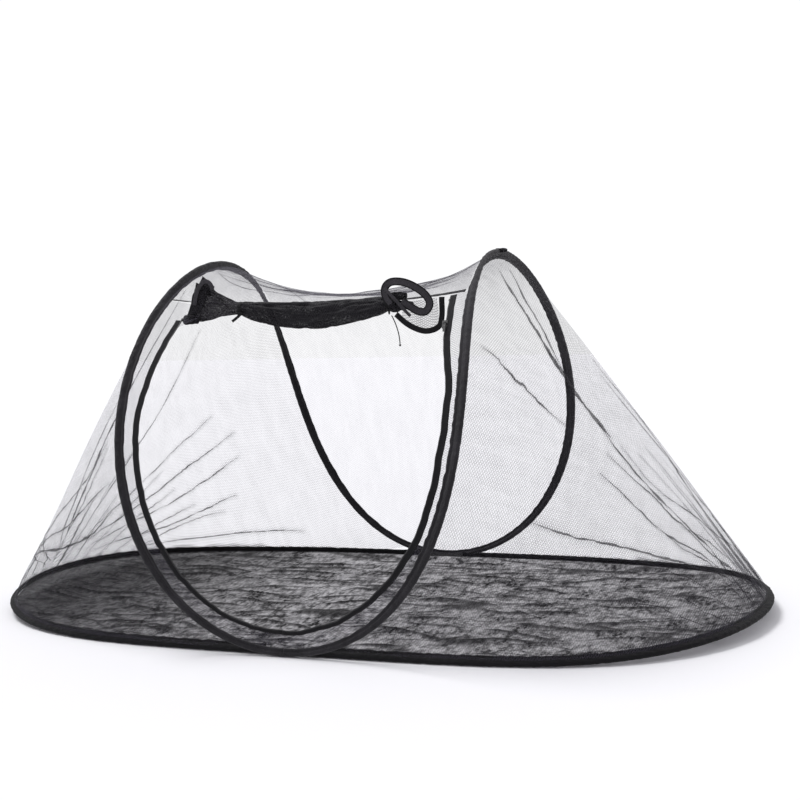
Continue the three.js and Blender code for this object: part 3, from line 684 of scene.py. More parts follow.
def make_cord():
    line = seam_curve(CORD_ROUTE, 60)
    turn = full_turn(12)[0]
    lay = 1 + 0.10 * np.cos(3 * turn + lengths_along(line, 0)[:, None] * 2 * math.pi / CORD_TWIST)
    section = oval(turn, lay, 1, 1) * CORD_DIAMETER / 2
    cord = swept_piece("tie_cord.rope", line, FRONT, section, TIE, "tie")
    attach(cord, "hoop_right")
    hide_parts("tie_cord")
    float(lengths_along(line, 0)[-1])
    [tuple(p) for p in line]


# ---- Bindings, wires and stitches ----

# Half thickness of the folded binding at distances in from the wire: round over the wire, pinched
# at the stitches, and then two thin lips.
SLEEVE_REACH = np.array([-6.0, -5.4, -3.6, -1.0, 1.5, 4.0, 6.5, 8.6, 10.0, 12.0, 14.5, 16.0]) / 1000
SLEEVE_HALF = np.array([0.0, 2.7, 4.7, 5.6, 5.5, 4.6, 3.2, 2.1, 1.5, 2.3, 2.6, 1.3]) / 1000
STITCH_PITCH, STITCH_DASH, STITCH_RADIUS = 0.0046, 0.0030, 0.00035
STITCH_MARGIN = 0.006
SEAM_REACH = 0.010  # where the binding's stitches run, in from the wire
SEAM_LIFT = 0.0017
LIPS_UP = 1.15  # slope of the base binding's lips, which the end panels pull up
LIPS_DOWN = 1.15  # the hoop's lips hang between roof and end panel, most of all at the peaks
PEAK_REACH = {"front": math.radians(16), "back": math.radians(34)}
WIRE_RADIUS = 0.00175
TURNOVER = {"off": (0.007, 0.0, 0.0030), "size": (0.014, 0.007, 0.0055)}
FOOT_GAP = 0.0004
FOOT_PRESSED = 0.55
CRIMP_ANGLE = 28.5 * STATION
CRIMP_HALF = 0.029
CRIMP_RADIUS = 0.00265


def sleeve_section(length, seed):
    """The binding's section at each place along it, with puckers that run across it."""
    fine = np.linspace(0, 1, 19)
    keys = np.linspace(0, 1, len(SLEEVE_REACH))
    reach = np.interp(fine, keys, SLEEVE_REACH)
    half = np.interp(fine, keys, SLEEVE_HALF)
    a = np.concatenate([reach, reach[-1:0:-1]])
    b = np.concatenate([-half, half[-1:0:-1]])
    s = length[:, None]
    pucker = waves(s, 0 * s, seed, 14, 0.007, 0.020) * 0.10
    loose = waves(s, 0 * s, seed + 1, 8, 0.035, 0.11) * 0.09
    shear = waves(s, a[None] * 2, seed + 2, 10, 0.010, 0.026) * 0.10
    swell = 1 + np.clip(pucker + loose + shear, -0.3, 0.3) * np.clip(1.2 - np.abs(a) / 0.016, 0.25, 1)
    rim = 1 + waves(s, 0 * s, seed + 3, 8, 0.012, 0.04) * 0.045
    return stack(a[None] * rim, b[None] * swell)


def stitches(name, line, across, reach, lift_off, slot):
    """A row of thread dashes on both faces of a binding or a tape."""
    length = lengths_along(line, 0)
    tangent = unit(np.gradient(line, axis=0))
    across = unit(np.broadcast_to(across, line.shape))
    up = np.cross(tangent, across)
    ring = circle(STITCH_RADIUS, 5)
    rise = np.array([-0.6, 1.0, -0.6]) * STITCH_RADIUS
    points, faces, uvs = [], [], []
    for face in (1, -1):
        for start in np.arange(STITCH_MARGIN, length[-1] - STITCH_MARGIN, STITCH_PITCH):
            at = start + np.array([0, 0.5, 1]) * STITCH_DASH
            out = sampled(at, length, up) * face
            middle = sampled(at, length, line) + sampled(at, length, across) * reach
            middle = middle + out * (lift_off + rise[:, None])
            side = np.cross(sampled(at, length, tangent), out)
            faces.extend(tube_faces(3, 5, len(points) * 15))
            points.append(middle[:, None] + side[:, None] * ring[:, :1] + out[:, None] * ring[:, 1:])
            uvs.append(stack(ring[None, :, 0], at[:, None]).reshape(-1, 2))
    flat = np.concatenate(points).reshape(-1, 3)
    return make_piece(name, flat, faces, np.concatenate(uvs), THREAD, slot)


def lips(angle, side):
    """The direction that the lips of the hoop's binding point in."""
    line = hoop(angle, side)
    inward = unit(net(angle, side, LIP_REACH * 0.75) - line)
    panel = unit(base(np.clip(angle / math.pi, FOOT_SHARE, 1 - FOOT_SHARE), side) - line)
    reach = np.where(angle < math.pi / 2, PEAK_REACH["front"], PEAK_REACH["back"])
    return inward + panel * (LIPS_DOWN * hump(angle - math.pi / 2, reach))[:, None]


def make_base_binding(word, side):
    share = np.linspace(FOOT_SHARE, 1 - FOOT_SHARE, 560)
    line = base(share, side)
    across = unit(base_inset(share, side, LIP_REACH) - line) + UP * LIPS_UP
    section = sleeve_section(lengths_along(line, 0), 20 + side)
    name = f"base_binding_{word}"
    binding = swept_piece(f"{name}.cloth", line, across, section, BASE_BINDING, "binding")
    thread = stitches(f"{name}.stitches", line, across, SEAM_REACH, SEAM_LIFT, "binding")
    for piece in (binding, thread):
        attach(piece, f"base_{word}")
    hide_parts(name)


def make_hoop_binding(word, side):
    angle = np.linspace(HOOP_START, math.pi - HOOP_START, 600)
    line = hoop(angle, side)
    across = lips(angle, side)
    section = sleeve_section(lengths_along(line, 0), 40 + side)
    lip = np.clip(section[..., 0] / 0.006, 0, 1)
    section[..., 0] *= 1 - (1 - foot_taper(angle))[:, None] * lip
    name = f"hoop_binding_{word}"
    binding = swept_piece(f"{name}.cloth", line, across, section, BINDING, "binding")
    thread = stitches(f"{name}.stitches", line, across, SEAM_REACH, SEAM_LIFT, "binding")
    section = circle(WIRE_RADIUS, 10)
    wire = swept_piece(f"hoop_wire_{word}.wire", line, across, section, STEEL, "spring_wire")
    stand_in(binding, [word])
    folded(thread, [word])
    stand_in(wire, [word])


def make_bindings():
    for word, side in SIDES.items():
        make_base_binding(word, side)
        make_hoop_binding(word, side)
    # The binding's end is turned over at the right peak.
    peak = hoop(math.pi / 2, 1) + np.array(TURNOVER["off"])
    folded(crumpled_ball("hoop_binding_right.turnover", peak, TURNOVER["size"], 45), ["right"])


def make_hoop_ferrule():
    """The crimped tube over the hoop's wire ends, with the dents of the tool."""
    angle = np.linspace(CRIMP_ANGLE - CRIMP_HALF, CRIMP_ANGLE + CRIMP_HALF, 45)
    line = hoop(angle, 1)
    across = net(angle, 1, LIP_REACH * 0.75) - line
    s = np.linspace(0, 1, 45)[:, None]
    width = 1 - 0.10 * hump(s - 0.25, 0.05) - 0.10 * hump(s - 0.75, 0.05)
    section = circle(CRIMP_RADIUS, 16)[None] * width[..., None]
    stand_in(swept_piece("hoop_ferrule.tube", line, across, section, CRIMP, "ferrule"), ["right"])


def make_foot_joints():
    """A short sleeve sewn across under each foot, pressed flat at the line that the tent folds on,
    where each half goes with its own half of the base."""
    for word, end in (("front", -1), ("back", 1)):
        for half, side in SIDES.items():
            x = side * np.linspace(FOOT_GAP, FOOT_HALF - FOOT_GAP, 60)
            line = stack(x, end * (BASE_HALF_WIDTH + 0 * x), WIRE_CENTRE + 0 * x)
            section = sleeve_section(lengths_along(line, 0), 60 + end + side)
            section[..., 1] *= (1 - FOOT_PRESSED * hump(x, 0.020))[:, None]
            name = f"foot_joint_{word}.{half}"
            across = FRONT * end
            joint = swept_piece(f"{name}_cloth", line, across, section, BASE_BINDING, "binding")
            thread = stitches(f"{name}_stitches", line, across, SEAM_REACH, 0.0015, "binding")
            for piece in (joint, thread):
                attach(piece, f"base_{half}")
            if half == "right":
                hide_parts(f"foot_joint_{word}")


# ---- Floor and netting ----

FLOOR_RING = 0.060
FLOOR_SPLIT = 0.3
FLOOR_LOWEST = 0.0006
FLOOR_TOP = 0.0012
FLOOR_RING_SHARE = 0.12
FOLD_STEP = 0.006
PLEAT_HALF_THICKNESS = 0.0017


def crease_lines(x, y, seed, long, wide):
    """Sharp wandering ridges that run along the length: from 0 to 1, with their own breaks."""
    bent = y + waves(x, y, seed, 6, 0.15, 0.5) * 0.012
    field = waves(bent, x, seed + 1, 16, wide, wide * 2.2, along=long)
    return hump(field, 0.14) * np.clip(0.5 + waves(x, y, seed + 2, 8, 0.10, 0.30) * 0.9, 0, 1)


def crushed(x, y):
    """How high the floor cloth stands, and how deep the painted shade of its creases is."""
    big = crease_lines(x, y, 3, 4.5, 0.070)
    small = crease_lines(x, y, 13, 3.5, 0.034)
    soft = waves(y, x, 23, 12, 0.05, 0.14, along=3.0)
    height = big * 0.0050 + small * 0.0022 + soft * 0.0012 + 0.0012
    return height, big * 1.5 + small * 0.9


def make_floors():
    """Each half of the floor, in rings from the base wire in to the middle of the tent."""
    share = np.linspace(0, 1, 330)[None, :]
    rows = np.linspace(0, 1, 240)[:, None]
    near = np.clip(rows / FLOOR_RING_SHARE, 0, 1)[..., None]
    far = np.clip((rows - FLOOR_RING_SHARE) / (1 - FLOOR_RING_SHARE), 0, 1)[..., None]
    drop = smooth(rows, 0.02, 0.12)
    held = np.clip(rows / 0.05, 0, 1)
    split = stack(0 * share, FLOOR_SPLIT * (2 * share - 1), 0 * share)
    for word, side in SIDES.items():
        edge = base_inset(share, side, EDGE_IN_SLEEVE + 0.002)
        inner = base_inset(share, side, FLOOR_RING)
        points = (edge * (1 - near) + inner * near) * (1 - far) + split * far
        points[..., 0] = np.where((share == 0) | (share == 1), 0, points[..., 0])
        x, y = points[..., 0], points[..., 1]
        height, shade = crushed(x, y)
        ground = FLOOR_TOP + height * held
        points[..., 2] = WIRE_CENTRE * (1 - drop) + ground * (0.4 + 0.6 * drop) * held + lift(x)
        points[..., 2] = np.maximum(points[..., 2], FLOOR_LOWEST)
        # On the floor the layers attribute is painted shade along the creases, not layers of cloth.
        layers = 1 + 1.6 * shade * held
        floor = cloth_piece(f"floor_{word}.cloth", points, FLOOR, "floor", None, layers)
        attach(floor, f"base_{word}")
        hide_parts(f"floor_{word}")


def on_grid(grid, path):
    """Places on a grid of points, where a path runs over shares of its columns and rows."""
    rows, columns = grid.shape[:2]
    x = np.clip(path[:, 0], 0, 1) * (columns - 1)
    y = np.clip(path[:, 1], 0, 1) * (rows - 1)
    i = np.minimum(y.astype(int), rows - 2)
    j = np.minimum(x.astype(int), columns - 2)
    p, q = (y - i)[:, None], (x - j)[:, None]
    low = grid[i, j] * (1 - q) + grid[i, j + 1] * q
    high = grid[i + 1, j] * (1 - q) + grid[i + 1, j + 1] * q
    return low * (1 - p) + high * p


def fold_routes(grid, folds, seed):
    """The lines of the folds on a grid, each with the half width that it has at each place."""
    rng = np.random.default_rng(seed)
    made = []
    for places, half in folds:
        route = [(u, v, 0) for u, v in places]
        rough = on_grid(grid, curve_through(route, 40))
        count = max(8, int(lengths_along(rough, 0)[-1] / FOLD_STEP))
        path = curve_through(route, count)
        t = np.linspace(0, 1, count)
        wander = np.cumsum(rng.normal(0, 1, count)) / count
        path[:, 0] += (wander - wander.mean()) * 0.05 * np.sin(math.pi * t)
        line = on_grid(grid, path)
        taper = np.clip(np.minimum(t / 0.25, (1 - t) / 0.25), 0.12, 1) ** 0.7
        uneven = 1 + waves(t * count * FOLD_STEP, 0 * t, seed + len(made), 8, 0.03, 0.12) * 0.45
        made.append((line, half * taper * np.clip(uneven, 0.25, 2), path))
    return made


def near_folds(points, routes, reach):
    """How near each point is to a fold, from 0 to 1."""
    total = np.zeros(points.shape[:2])
    for line, _, _ in routes:
        thin = line[:: max(1, len(line) // 45)]
        gap = np.full(points.shape[:2], np.inf)
        for place in thin:
            gap = np.minimum(gap, ((points - place) ** 2).sum(-1))
        total = np.maximum(total, np.exp(-gap / reach**2))
    return total


def fold_piece(name, grid, routes):
    """The folds themselves: the netting doubled into narrow pleats that lie on the cloth."""
    normal = normals_of(grid)
    section = np.array([(-1, 0), (-0.4, 0.35), (0.5, 0.30), (1, 0), (0.4, -0.3), (-0.5, -0.3)])
    points, faces, uvs, used = [], [], [], 0
    for line, half, path in routes:
        tangent = unit(np.gradient(line, axis=0))
        out = unit(on_grid(normal, path))
        across = unit(np.cross(out, tangent))
        a = section[None, :, :1] * half[:, None, None]
        b = section[None, :, 1:] * np.minimum(half, PLEAT_HALF_THICKNESS)[:, None, None]
        body = line[:, None] + across[:, None] * a + out[:, None] * b
        rows, count = body.shape[:2]
        points.append(body.reshape(-1, 3))
        faces.extend(tube_faces(rows, count, used))
        along = np.broadcast_to(lengths_along(line, 0)[:, None, None], a.shape)
        uvs.append(np.concatenate([a, along], -1).reshape(-1, 2))
        used += rows * count
    return make_piece(name, np.concatenate(points), faces, np.concatenate(uvs), FOLDS, "netting")


# Folds in the end panels, from the door's side round to the back, and from the hoop at 0 down to
# the base at 1, with the half width of each in metres.
END_FOLDS = {
    "right": [
        ([(0.465, 0.04), (0.450, 0.13), (0.440, 0.20), (0.427, 0.30)], 0.0052),
        ([(0.492, 0.05), (0.475, 0.13), (0.452, 0.22), (0.428, 0.31)], 0.0036),
        ([(0.440, 0.20), (0.430, 0.27), (0.424, 0.38), (0.424, 0.48)], 0.0068),
        ([(0.426, 0.42), (0.415, 0.60), (0.422, 0.73), (0.440, 0.86), (0.475, 0.95)], 0.0040),
        ([(0.400, 0.50), (0.408, 0.64), (0.418, 0.78), (0.455, 0.93)], 0.0024),
        ([(0.352, 0.05), (0.357, 0.15), (0.367, 0.27), (0.376, 0.36)], 0.0026),
        ([(0.368, 0.50), (0.375, 0.62), (0.385, 0.73), (0.420, 0.88)], 0.0022),
        ([(0.262, 0.38), (0.290, 0.55), (0.330, 0.70), (0.380, 0.82), (0.440, 0.93)], 0.0022),
        ([(0.560, 0.30), (0.575, 0.50), (0.560, 0.70), (0.525, 0.92)], 0.0020),
        ([(0.640, 0.25), (0.650, 0.50), (0.620, 0.75), (0.550, 0.94)], 0.0016),
        ([(0.720, 0.35), (0.720, 0.60), (0.670, 0.82), (0.580, 0.95)], 0.0014),
    ],
    "left": [
        ([(0.455, 0.06), (0.446, 0.30), (0.445, 0.60), (0.458, 0.80), (0.485, 0.95)], 0.0028),
        ([(0.425, 0.35), (0.425, 0.60), (0.440, 0.80), (0.475, 0.94)], 0.0018),
        ([(0.280, 0.12), (0.285, 0.35), (0.320, 0.62), (0.400, 0.86), (0.460, 0.95)], 0.0016),
        ([(0.217, 0.12), (0.230, 0.40), (0.285, 0.68), (0.380, 0.88), (0.450, 0.96)], 0.0022),
        ([(0.240, 0.10), (0.262, 0.40), (0.315, 0.70), (0.410, 0.90)], 0.0014),
        ([(0.645, 0.40), (0.625, 0.58), (0.590, 0.78), (0.535, 0.94)], 0.0016),
        ([(0.690, 0.38), (0.665, 0.58), (0.625, 0.78), (0.550, 0.94)], 0.0018),
        ([(0.715, 0.45), (0.690, 0.65), (0.650, 0.82), (0.570, 0.95)], 0.0016),
        ([(0.745, 0.62), (0.715, 0.78), (0.670, 0.89), (0.590, 0.96)], 0.0016),
        ([(0.845, 0.70), (0.800, 0.82), (0.740, 0.92), (0.660, 0.97)], 0.0014),
        ([(0.530, 0.20), (0.545, 0.45), (0.545, 0.70), (0.520, 0.93)], 0.0016),
    ],
}
TIP_FOLDS = 13
END_START = 0.05
END_UNDER_SLEEVE = 0.0052
STRIP_WIDER = 0.045


def tip_folds(seed):
    """Short folds that fan out from the gathered tip."""
    rng = np.random.default_rng(seed)
    made = []
    for turn in np.linspace(-1, 1, TIP_FOLDS):
        reach = rng.uniform(0.10, 0.42) * (1.1 - 0.5 * abs(turn))
        low, high = 0.5 + 0.16 * turn, 0.5 + (0.16 + 0.32 * reach) * turn + rng.uniform(-0.01, 0.01)
        half = rng.uniform(0.0007, 0.0014)
        made.append(([(low, 0.985), ((low + high) / 2, 0.985 - reach / 2), (high, 0.985 - reach)], half))
    return made


def end_rails(u, side):
    """Where the end panel's straight rulings leave the hoop and where they reach the base. They
    gather towards the tip."""
    centred = 2 * u - 1
    rim = 0.5 + 0.5 * np.sign(centred) * np.abs(centred) ** TIP_GATHER
    high = hoop(u * math.pi, side)
    low = base(FOOT_SHARE + (1 - 2 * FOOT_SHARE) * rim, side)
    way = unit(low - high) * END_UNDER_SLEEVE
    return high + way, low - way


def end_folds(word, side):
    """The folds of an end panel, as shares of its own grid."""
    folds = END_FOLDS[word] + tip_folds(76 + side)
    span = 1 - 2 * END_START
    return [([((a - END_START) / span, b) for a, b in places], half) for places, half in folds]


def make_end_panels():
    u = np.linspace(END_START, 1 - END_START, 420)[None, :]
    v = np.linspace(0, 1, 150)[:, None]
    held = np.sin(math.pi * v) ** 0.6
    tip = hump(2 * u - 1, 0.30) * v**3
    for word, side in SIDES.items():
        high, low = end_rails(u, side)
        plain = high * (1 - v[..., None]) + low * v[..., None]
        out = normals_of(plain) * side
        ruled = waves(u * 2.0, v * 0.12, 70 + side, 16, 0.05, 0.16) * (0.0020 + 0.0016 * v)
        broad = waves(u * 2.0, v * 0.5, 72 + side, 8, 0.30, 0.8) * 0.006
        gathers = waves(u * 2.0, v * 0.02, 74 + side, 12, 0.018, 0.05) * 0.0035 * tip
        points = plain + out * ((ruled + broad) * held + gathers * np.clip((1 - v) / 0.04, 0, 1))[..., None]
        routes = fold_routes(points, end_folds(word, side), 80 + side)
        close = near_folds(points, routes, 0.007)
        points = points + out * (close * 0.0025 * held)[..., None]
        to_rim = np.linalg.norm(points - low, axis=-1)
        hem = 7 * np.exp(-((to_rim / (0.013 + 0.004 * waves(u * 2.0, 0 * v, 78, 12, 0.02, 0.09))) ** 4))
        layers = 1 + 1.3 * close + hem + 2.2 * tip * hump(1 - v, 0.22)
        flat = flat_fan(high[0], low[0], v)
        panel = cloth_piece(f"end_panel_{word}.netting", points, NETTING, "netting", flat, layers)
        extras = folded(fold_piece(f"end_panel_{word}.folds", points, routes), [word])
        parts = stand_in(panel, [word])


def strip_steps(top, count=170):
    return np.linspace(HOOP_START, top, count)[:, None]


def make_front_strips():
    for word, side in SIDES.items():
        angle = strip_steps(SEAM_ANGLE - SEAM_CLEARANCE * 0.6)
        share = np.linspace(0, 1, 9)[None, :]
        start = NETTING_EDGE * foot_taper(angle)
        end = zip_inset(angle, side) - ZIP_TAPE_WIDTH / 2 + 0.0045
        if word == "left":
            end = end + STRIP_WIDER * smooth(angle / STATION, 14.3, 15.3)
        x, a = inset(angle + 0 * share, side, start * (1 - share) + end * share)
        plain = canopy(x, a)
        along = lengths_along(plain, 0)
        ripple = waves(along, share * 0.02, 90 + side, 10, 0.02, 0.06) * 0.0007
        points = plain + normals_of(plain) * ripple[..., None]
        flat = flat_canopy(x, a)
        strip = cloth_piece(f"front_strip_{word}.netting", points, PALE_NETTING, "netting", flat, 1.9)
        parts = stand_in(strip, [word])


def back_row(u, angle):
    """The back panel between the hoop's two halves: u from 0 at the left to 1 at the right."""
    edge = NETTING_EDGE * foot_taper(angle)
    left, right = inset(angle, -1, edge), inset(angle, 1, edge)
    return left[0] * (1 - u) + right[0] * u, left[1] * (1 - u) + right[1] * u


# Folds in the roof and back, across from 0 at the left to 1 at the right, and down from the seam
# at 0 over the ridge to the back foot at 1.
BACK_FOLDS = [
    ([(0.985, 0.115), (0.85, 0.105), (0.60, 0.120), (0.30, 0.130), (0.03, 0.120)], 0.0024),
    ([(0.985, 0.120), (0.80, 0.130), (0.55, 0.150), (0.25, 0.150), (0.02, 0.130)], 0.0018),
    ([(0.985, 0.125), (0.82, 0.155), (0.58, 0.180), (0.30, 0.170), (0.03, 0.145)], 0.0022),
    ([(0.985, 0.128), (0.84, 0.180), (0.62, 0.225), (0.40, 0.230)], 0.0014),
    ([(0.985, 0.110), (0.88, 0.080), (0.70, 0.070), (0.50, 0.080)], 0.0018),
    ([(0.98, 0.105), (0.90, 0.060), (0.80, 0.030)], 0.0014),
    ([(0.02, 0.125), (0.14, 0.090), (0.30, 0.070)], 0.0016),
    ([(0.02, 0.140), (0.12, 0.190), (0.26, 0.230)], 0.0014),
    ([(0.03, 0.150), (0.10, 0.260), (0.16, 0.380)], 0.0010),
]


def make_back_panel():
    u = np.linspace(0, 1, 250)[None, :]
    angle = np.linspace(SEAM_ANGLE + SEAM_CLEARANCE * 0.5, math.pi - 0.04, 300)[:, None]
    x, a = back_row(u, angle)
    plain = canopy(x, a)
    held = (np.sin(math.pi * u) ** 0.5) * np.clip((angle - SEAM_ANGLE) / 0.1, 0, 1)
    along = lengths_along(plain, 0)
    folds = waves(x, along, 110, 14, 0.05, 0.16, along=3.0) * 0.0014
    broad = waves(x, along, 111, 8, 0.22, 0.5) * 0.0035
    ridge = hump(angle - math.pi / 2, 0.28)
    pulls = waves(along, x, 112, 12, 0.02, 0.06, along=8.0) * 0.0024 * ridge
    points = plain + normals_of(plain) * ((folds + broad + pulls) * held)[..., None]
    routes = fold_routes(points, BACK_FOLDS, 114)
    layers = 1 + 1.2 * near_folds(points, routes, 0.008) + 3.4 * ridge
    panel = cloth_piece("back_panel.netting", points, PALE_NETTING, "netting", flat_canopy(x, a), layers)
    extras = folded(fold_piece("back_panel.folds", points, routes))
    stand_in(panel)


# ---- Zip and seam tape ----

COIL_PITCH = 0.0016
COIL_HIGH, COIL_LOW = 0.0016, 0.00105
COIL_SHIFT = -0.0006
ZIP_SHIFT = 0.0012
ZIP_WANDER = 0.0009
WIDTHS = {
    "zip": 0.0125, "seam": 0.009, "turned": 0.009, "tie": 0.008, "loop": 0.0165, "rim": 0.0026,
    "door_edge": 0.012, "stub": 0.006, "strand": 0.0065,
}


def tape_section(width, thickness=TAPE_THICKNESS):
    """A thin tape's section, thinner at its two edges."""
    count = 12
    x = np.linspace(-0.5, 0.5, count) * width
    half = np.full(count, thickness / 2)
    half[0] = half[-1] = thickness * 0.25
    return stack(np.concatenate([x, x[::-1]]), np.concatenate([-half, half[::-1]]))


def zip_line(angle, side, off):
    """A line so far inside the middle of the zip tape, and the direction further in."""
    wander = waves(angle * 0.9, 0 * angle, 125 + side, 10, 0.03, 0.12) * ZIP_WANDER
    middle = zip_inset(angle, side) + wander
    line = net(angle, side, middle + off)
    return line, net(angle, side, middle + off + 0.01) - line


def make_zips():
    for word, side in SIDES.items():
        angle = strip_steps(ZIP_TOP[word], 260)[:, 0]
        line, across = zip_line(angle, side, ZIP_SHIFT)
        section = tape_section(WIDTHS["zip"])[None] * foot_taper(angle)[:, None, None]
        tape = swept_piece(f"zip_tape_{word}.tape", line, across, section, TAPE, "zip_tape")
        thread = stitches(f"zip_tape_{word}.stitches", line, across, -0.0032, 0.0006, "zip_tape")
        stand_in(tape, [word])
        folded(thread, [word])
        turns = int(lengths_along(line, 0)[-1] / COIL_PITCH)
        angle = np.linspace(HOOP_START, ZIP_TOP[word], 2 * turns)
        line, across = zip_line(angle, side, (COIL_LINE + COIL_SHIFT) * foot_taper(angle))
        ridge = np.where(np.arange(2 * turns) % 2, COIL_HIGH, COIL_LOW)
        section = circle(1.0, 7)[None] * ridge[:, None, None] * np.array([1.0, 0.8])
        stand_in(swept_piece(f"zip_coil_{word}.coil", line, across, section, COIL, "zip_coil"), [word])


def make_seam_tape():
    """The tape over the seam, puckered, and narrow left of the roll."""
    u = np.linspace(0.01, 0.99, 160)
    x, a = back_row(u, SEAM_ANGLE)
    line = canopy(x, a)
    across = canopy(*back_row(u, SEAM_ANGLE + 0.03)) - line
    puckers = waves(lengths_along(line, 0), 0 * u, 130, 12, 0.012, 0.04)
    wide = 0.3 + 0.7 * smooth(x, ROLL_LEFT - 0.02, ROLL_LEFT + 0.02) + 0.05 * puckers
    section = tape_section(WIDTHS["seam"], 0.0014)[None] * stack(wide, 1 + 0.3 * puckers)[:, None]
    tape = swept_piece("seam_tape.cloth", line, across, section, BINDING, "binding")
    thread = stitches("seam_tape.stitches", line, across, 0.0015, 0.0008, "binding")
    stand_in(tape)
    folded(thread)


# ---- The rolled door ----

# Radius at a tie, how much more in the middle, and how much more where it flares past the tie.
ROLL_RADIUS = {"tied": 0.0118, "swell": 0.0138, "flare": 0.005}
FLARE_LENGTH = 0.012


def roll_middle(x):
    """The middle of the roll at each x, and how far it swells there, from 0 at a tie to 1."""
    arch = np.sin(math.pi * np.clip((x - ROLL_LEFT) / (ROLL_RIGHT - ROLL_LEFT), 0, 1))
    return by_seam(x, ROLL_DROP[0] + 0 * x, ROLL_DROP[1] - ROLL_SAG * arch), arch**0.5


def make_roll():
    """The door rolled up: layers of netting, swollen between the ties and creased into them. It
    flares out again past the right tie."""
    x = np.linspace(ROLL_LEFT - 0.002, ROLL_RIGHT + 0.020, 190)
    line, swell = roll_middle(x)
    flare = smooth(x, ROLL_RIGHT, ROLL_RIGHT + FLARE_LENGTH)
    line[:, 2] -= flare * 0.003
    turn = full_turn(84)
    radius = ROLL_RADIUS["tied"] + ROLL_RADIUS["swell"] * swell + ROLL_RADIUS["flare"] * flare
    s = x[:, None]
    lobes = 0.08 * np.cos(2 * turn + 0.6 + 9 * s) + 0.05 * np.cos(3 * turn - 1.3 + 14 * s)
    flap = 0.16 * hump(turn - 4.0 - 2.2 * s, 0.30) * swell[:, None]
    shape = radius[:, None] * (1 + np.clip(lobes + flap + crumpled(turn, s, 140, 0.075), -0.35, 0.16))
    section = oval(turn, shape, 1, 0.90)
    stand_in(swept_piece("door_roll.netting", line, UP, section, ROLLED, "rolled_netting"))


# Half height and half depth of the gathered door, from the left tie to its folded edge.
BUNCH_SHARES = [0, 0.12, 0.3, 0.5, 0.7, 0.86, 1]
BUNCH_HALF_HEIGHTS = [0.0125, 0.0145, 0.021, 0.030, 0.037, 0.041, 0.043]
BUNCH_HALF_DEPTHS = [0.0120, 0.0125, 0.014, 0.015, 0.014, 0.012, 0.008]


def make_bunch():
    """Left of the roll the netting spreads out in pleats to a folded edge that stands upright."""
    tied = roll_middle(np.array(ROLL_LEFT))[0]
    share = np.linspace(0, 1, 120)
    line = tied * (1 - share[:, None]) + by_seam(*BUNCH_END) * share[:, None]
    line[:, 2] -= 0.003 * np.sin(math.pi * share)
    edge = np.array([math.sin(BUNCH_SLOPE), 0.0, math.cos(BUNCH_SLOPE)])
    up = UP * (1 - share[:, None]) + edge * share[:, None]
    half_height = np.interp(share, BUNCH_SHARES, BUNCH_HALF_HEIGHTS)[:, None]
    half_depth = np.interp(share, BUNCH_SHARES, BUNCH_HALF_DEPTHS)[:, None]
    turn = full_turn(110)
    shape = 0.92 * (1 + np.clip(crumpled(turn, share[:, None] * 0.115, 150, 0.13), -0.42, 0.12))
    section = oval(turn, shape, half_height, half_depth)
    stand_in(swept_piece("door_bunch.netting", line, up, section, BUNCHED, "rolled_netting"))


# The folded edge of the door beside the hoop, and the end of the zip tape that turns over at its
# top, as places beside the seam.
BUNCH_EDGE = [
    (-0.256, -0.040, 0.050), (-0.268, -0.042, 0.034), (-0.283, -0.043, 0.002), (-0.296, -0.043, -0.022),
    (-0.305, -0.042, -0.042),
]
BUNCH_TAPE = [
    (-0.287, -0.050, -0.004), (-0.281, -0.051, 0.020), (-0.271, -0.051, 0.040), (-0.258, -0.050, 0.050),
    (-0.247, -0.049, 0.045), (-0.243, -0.048, 0.032),
]
KNOT_PLACE = (-0.302, -0.040, -0.036)


def make_bunch_edge():
    """The folded edge of the door, the dark knot at its foot and the tape that turns over it."""
    strip = seam_curve(BUNCH_EDGE, 60)
    t = np.linspace(0, 1, 60)[:, None]
    wide = 0.0165 - 0.0065 * t + 0.0020 * np.cos(11 * t + 1)
    thick = 0.0035 + 0.0012 * np.cos(13 * t)
    turn = full_turn(36)
    ribs = 1 + 0.12 * np.cos(7 * turn + 8 * t) + 0.06 * np.cos(4 * turn - 15 * t)
    section = stack(np.cos(turn) * wide * ribs, np.sin(turn) * thick * ribs)
    sideways = np.array([1.0, 0.0, -0.3])
    folded(swept_piece("door_bunch.edge", strip, sideways, section, ROLLED, "rolled_netting"))
    folded(crumpled_ball("door_bunch.knot", by_seam(*KNOT_PLACE), (0.019, 0.011, 0.013), 171))
    line = seam_curve(BUNCH_TAPE, 60)
    section = tape_section(WIDTHS["turned"])
    folded(swept_piece("door_bunch.tape", line, facing_front(line), section, LOOSE_TAPE, "zip_tape"))


TIE_RADIUS = 0.0142
TIE_ENDS_GAP = 0.03
TIE_KNOT_RADIUS = 0.0016
KNOT_OFF = {"left": (0.0, -0.0165, -0.012), "right": (0.006, -0.0165, -0.015)}


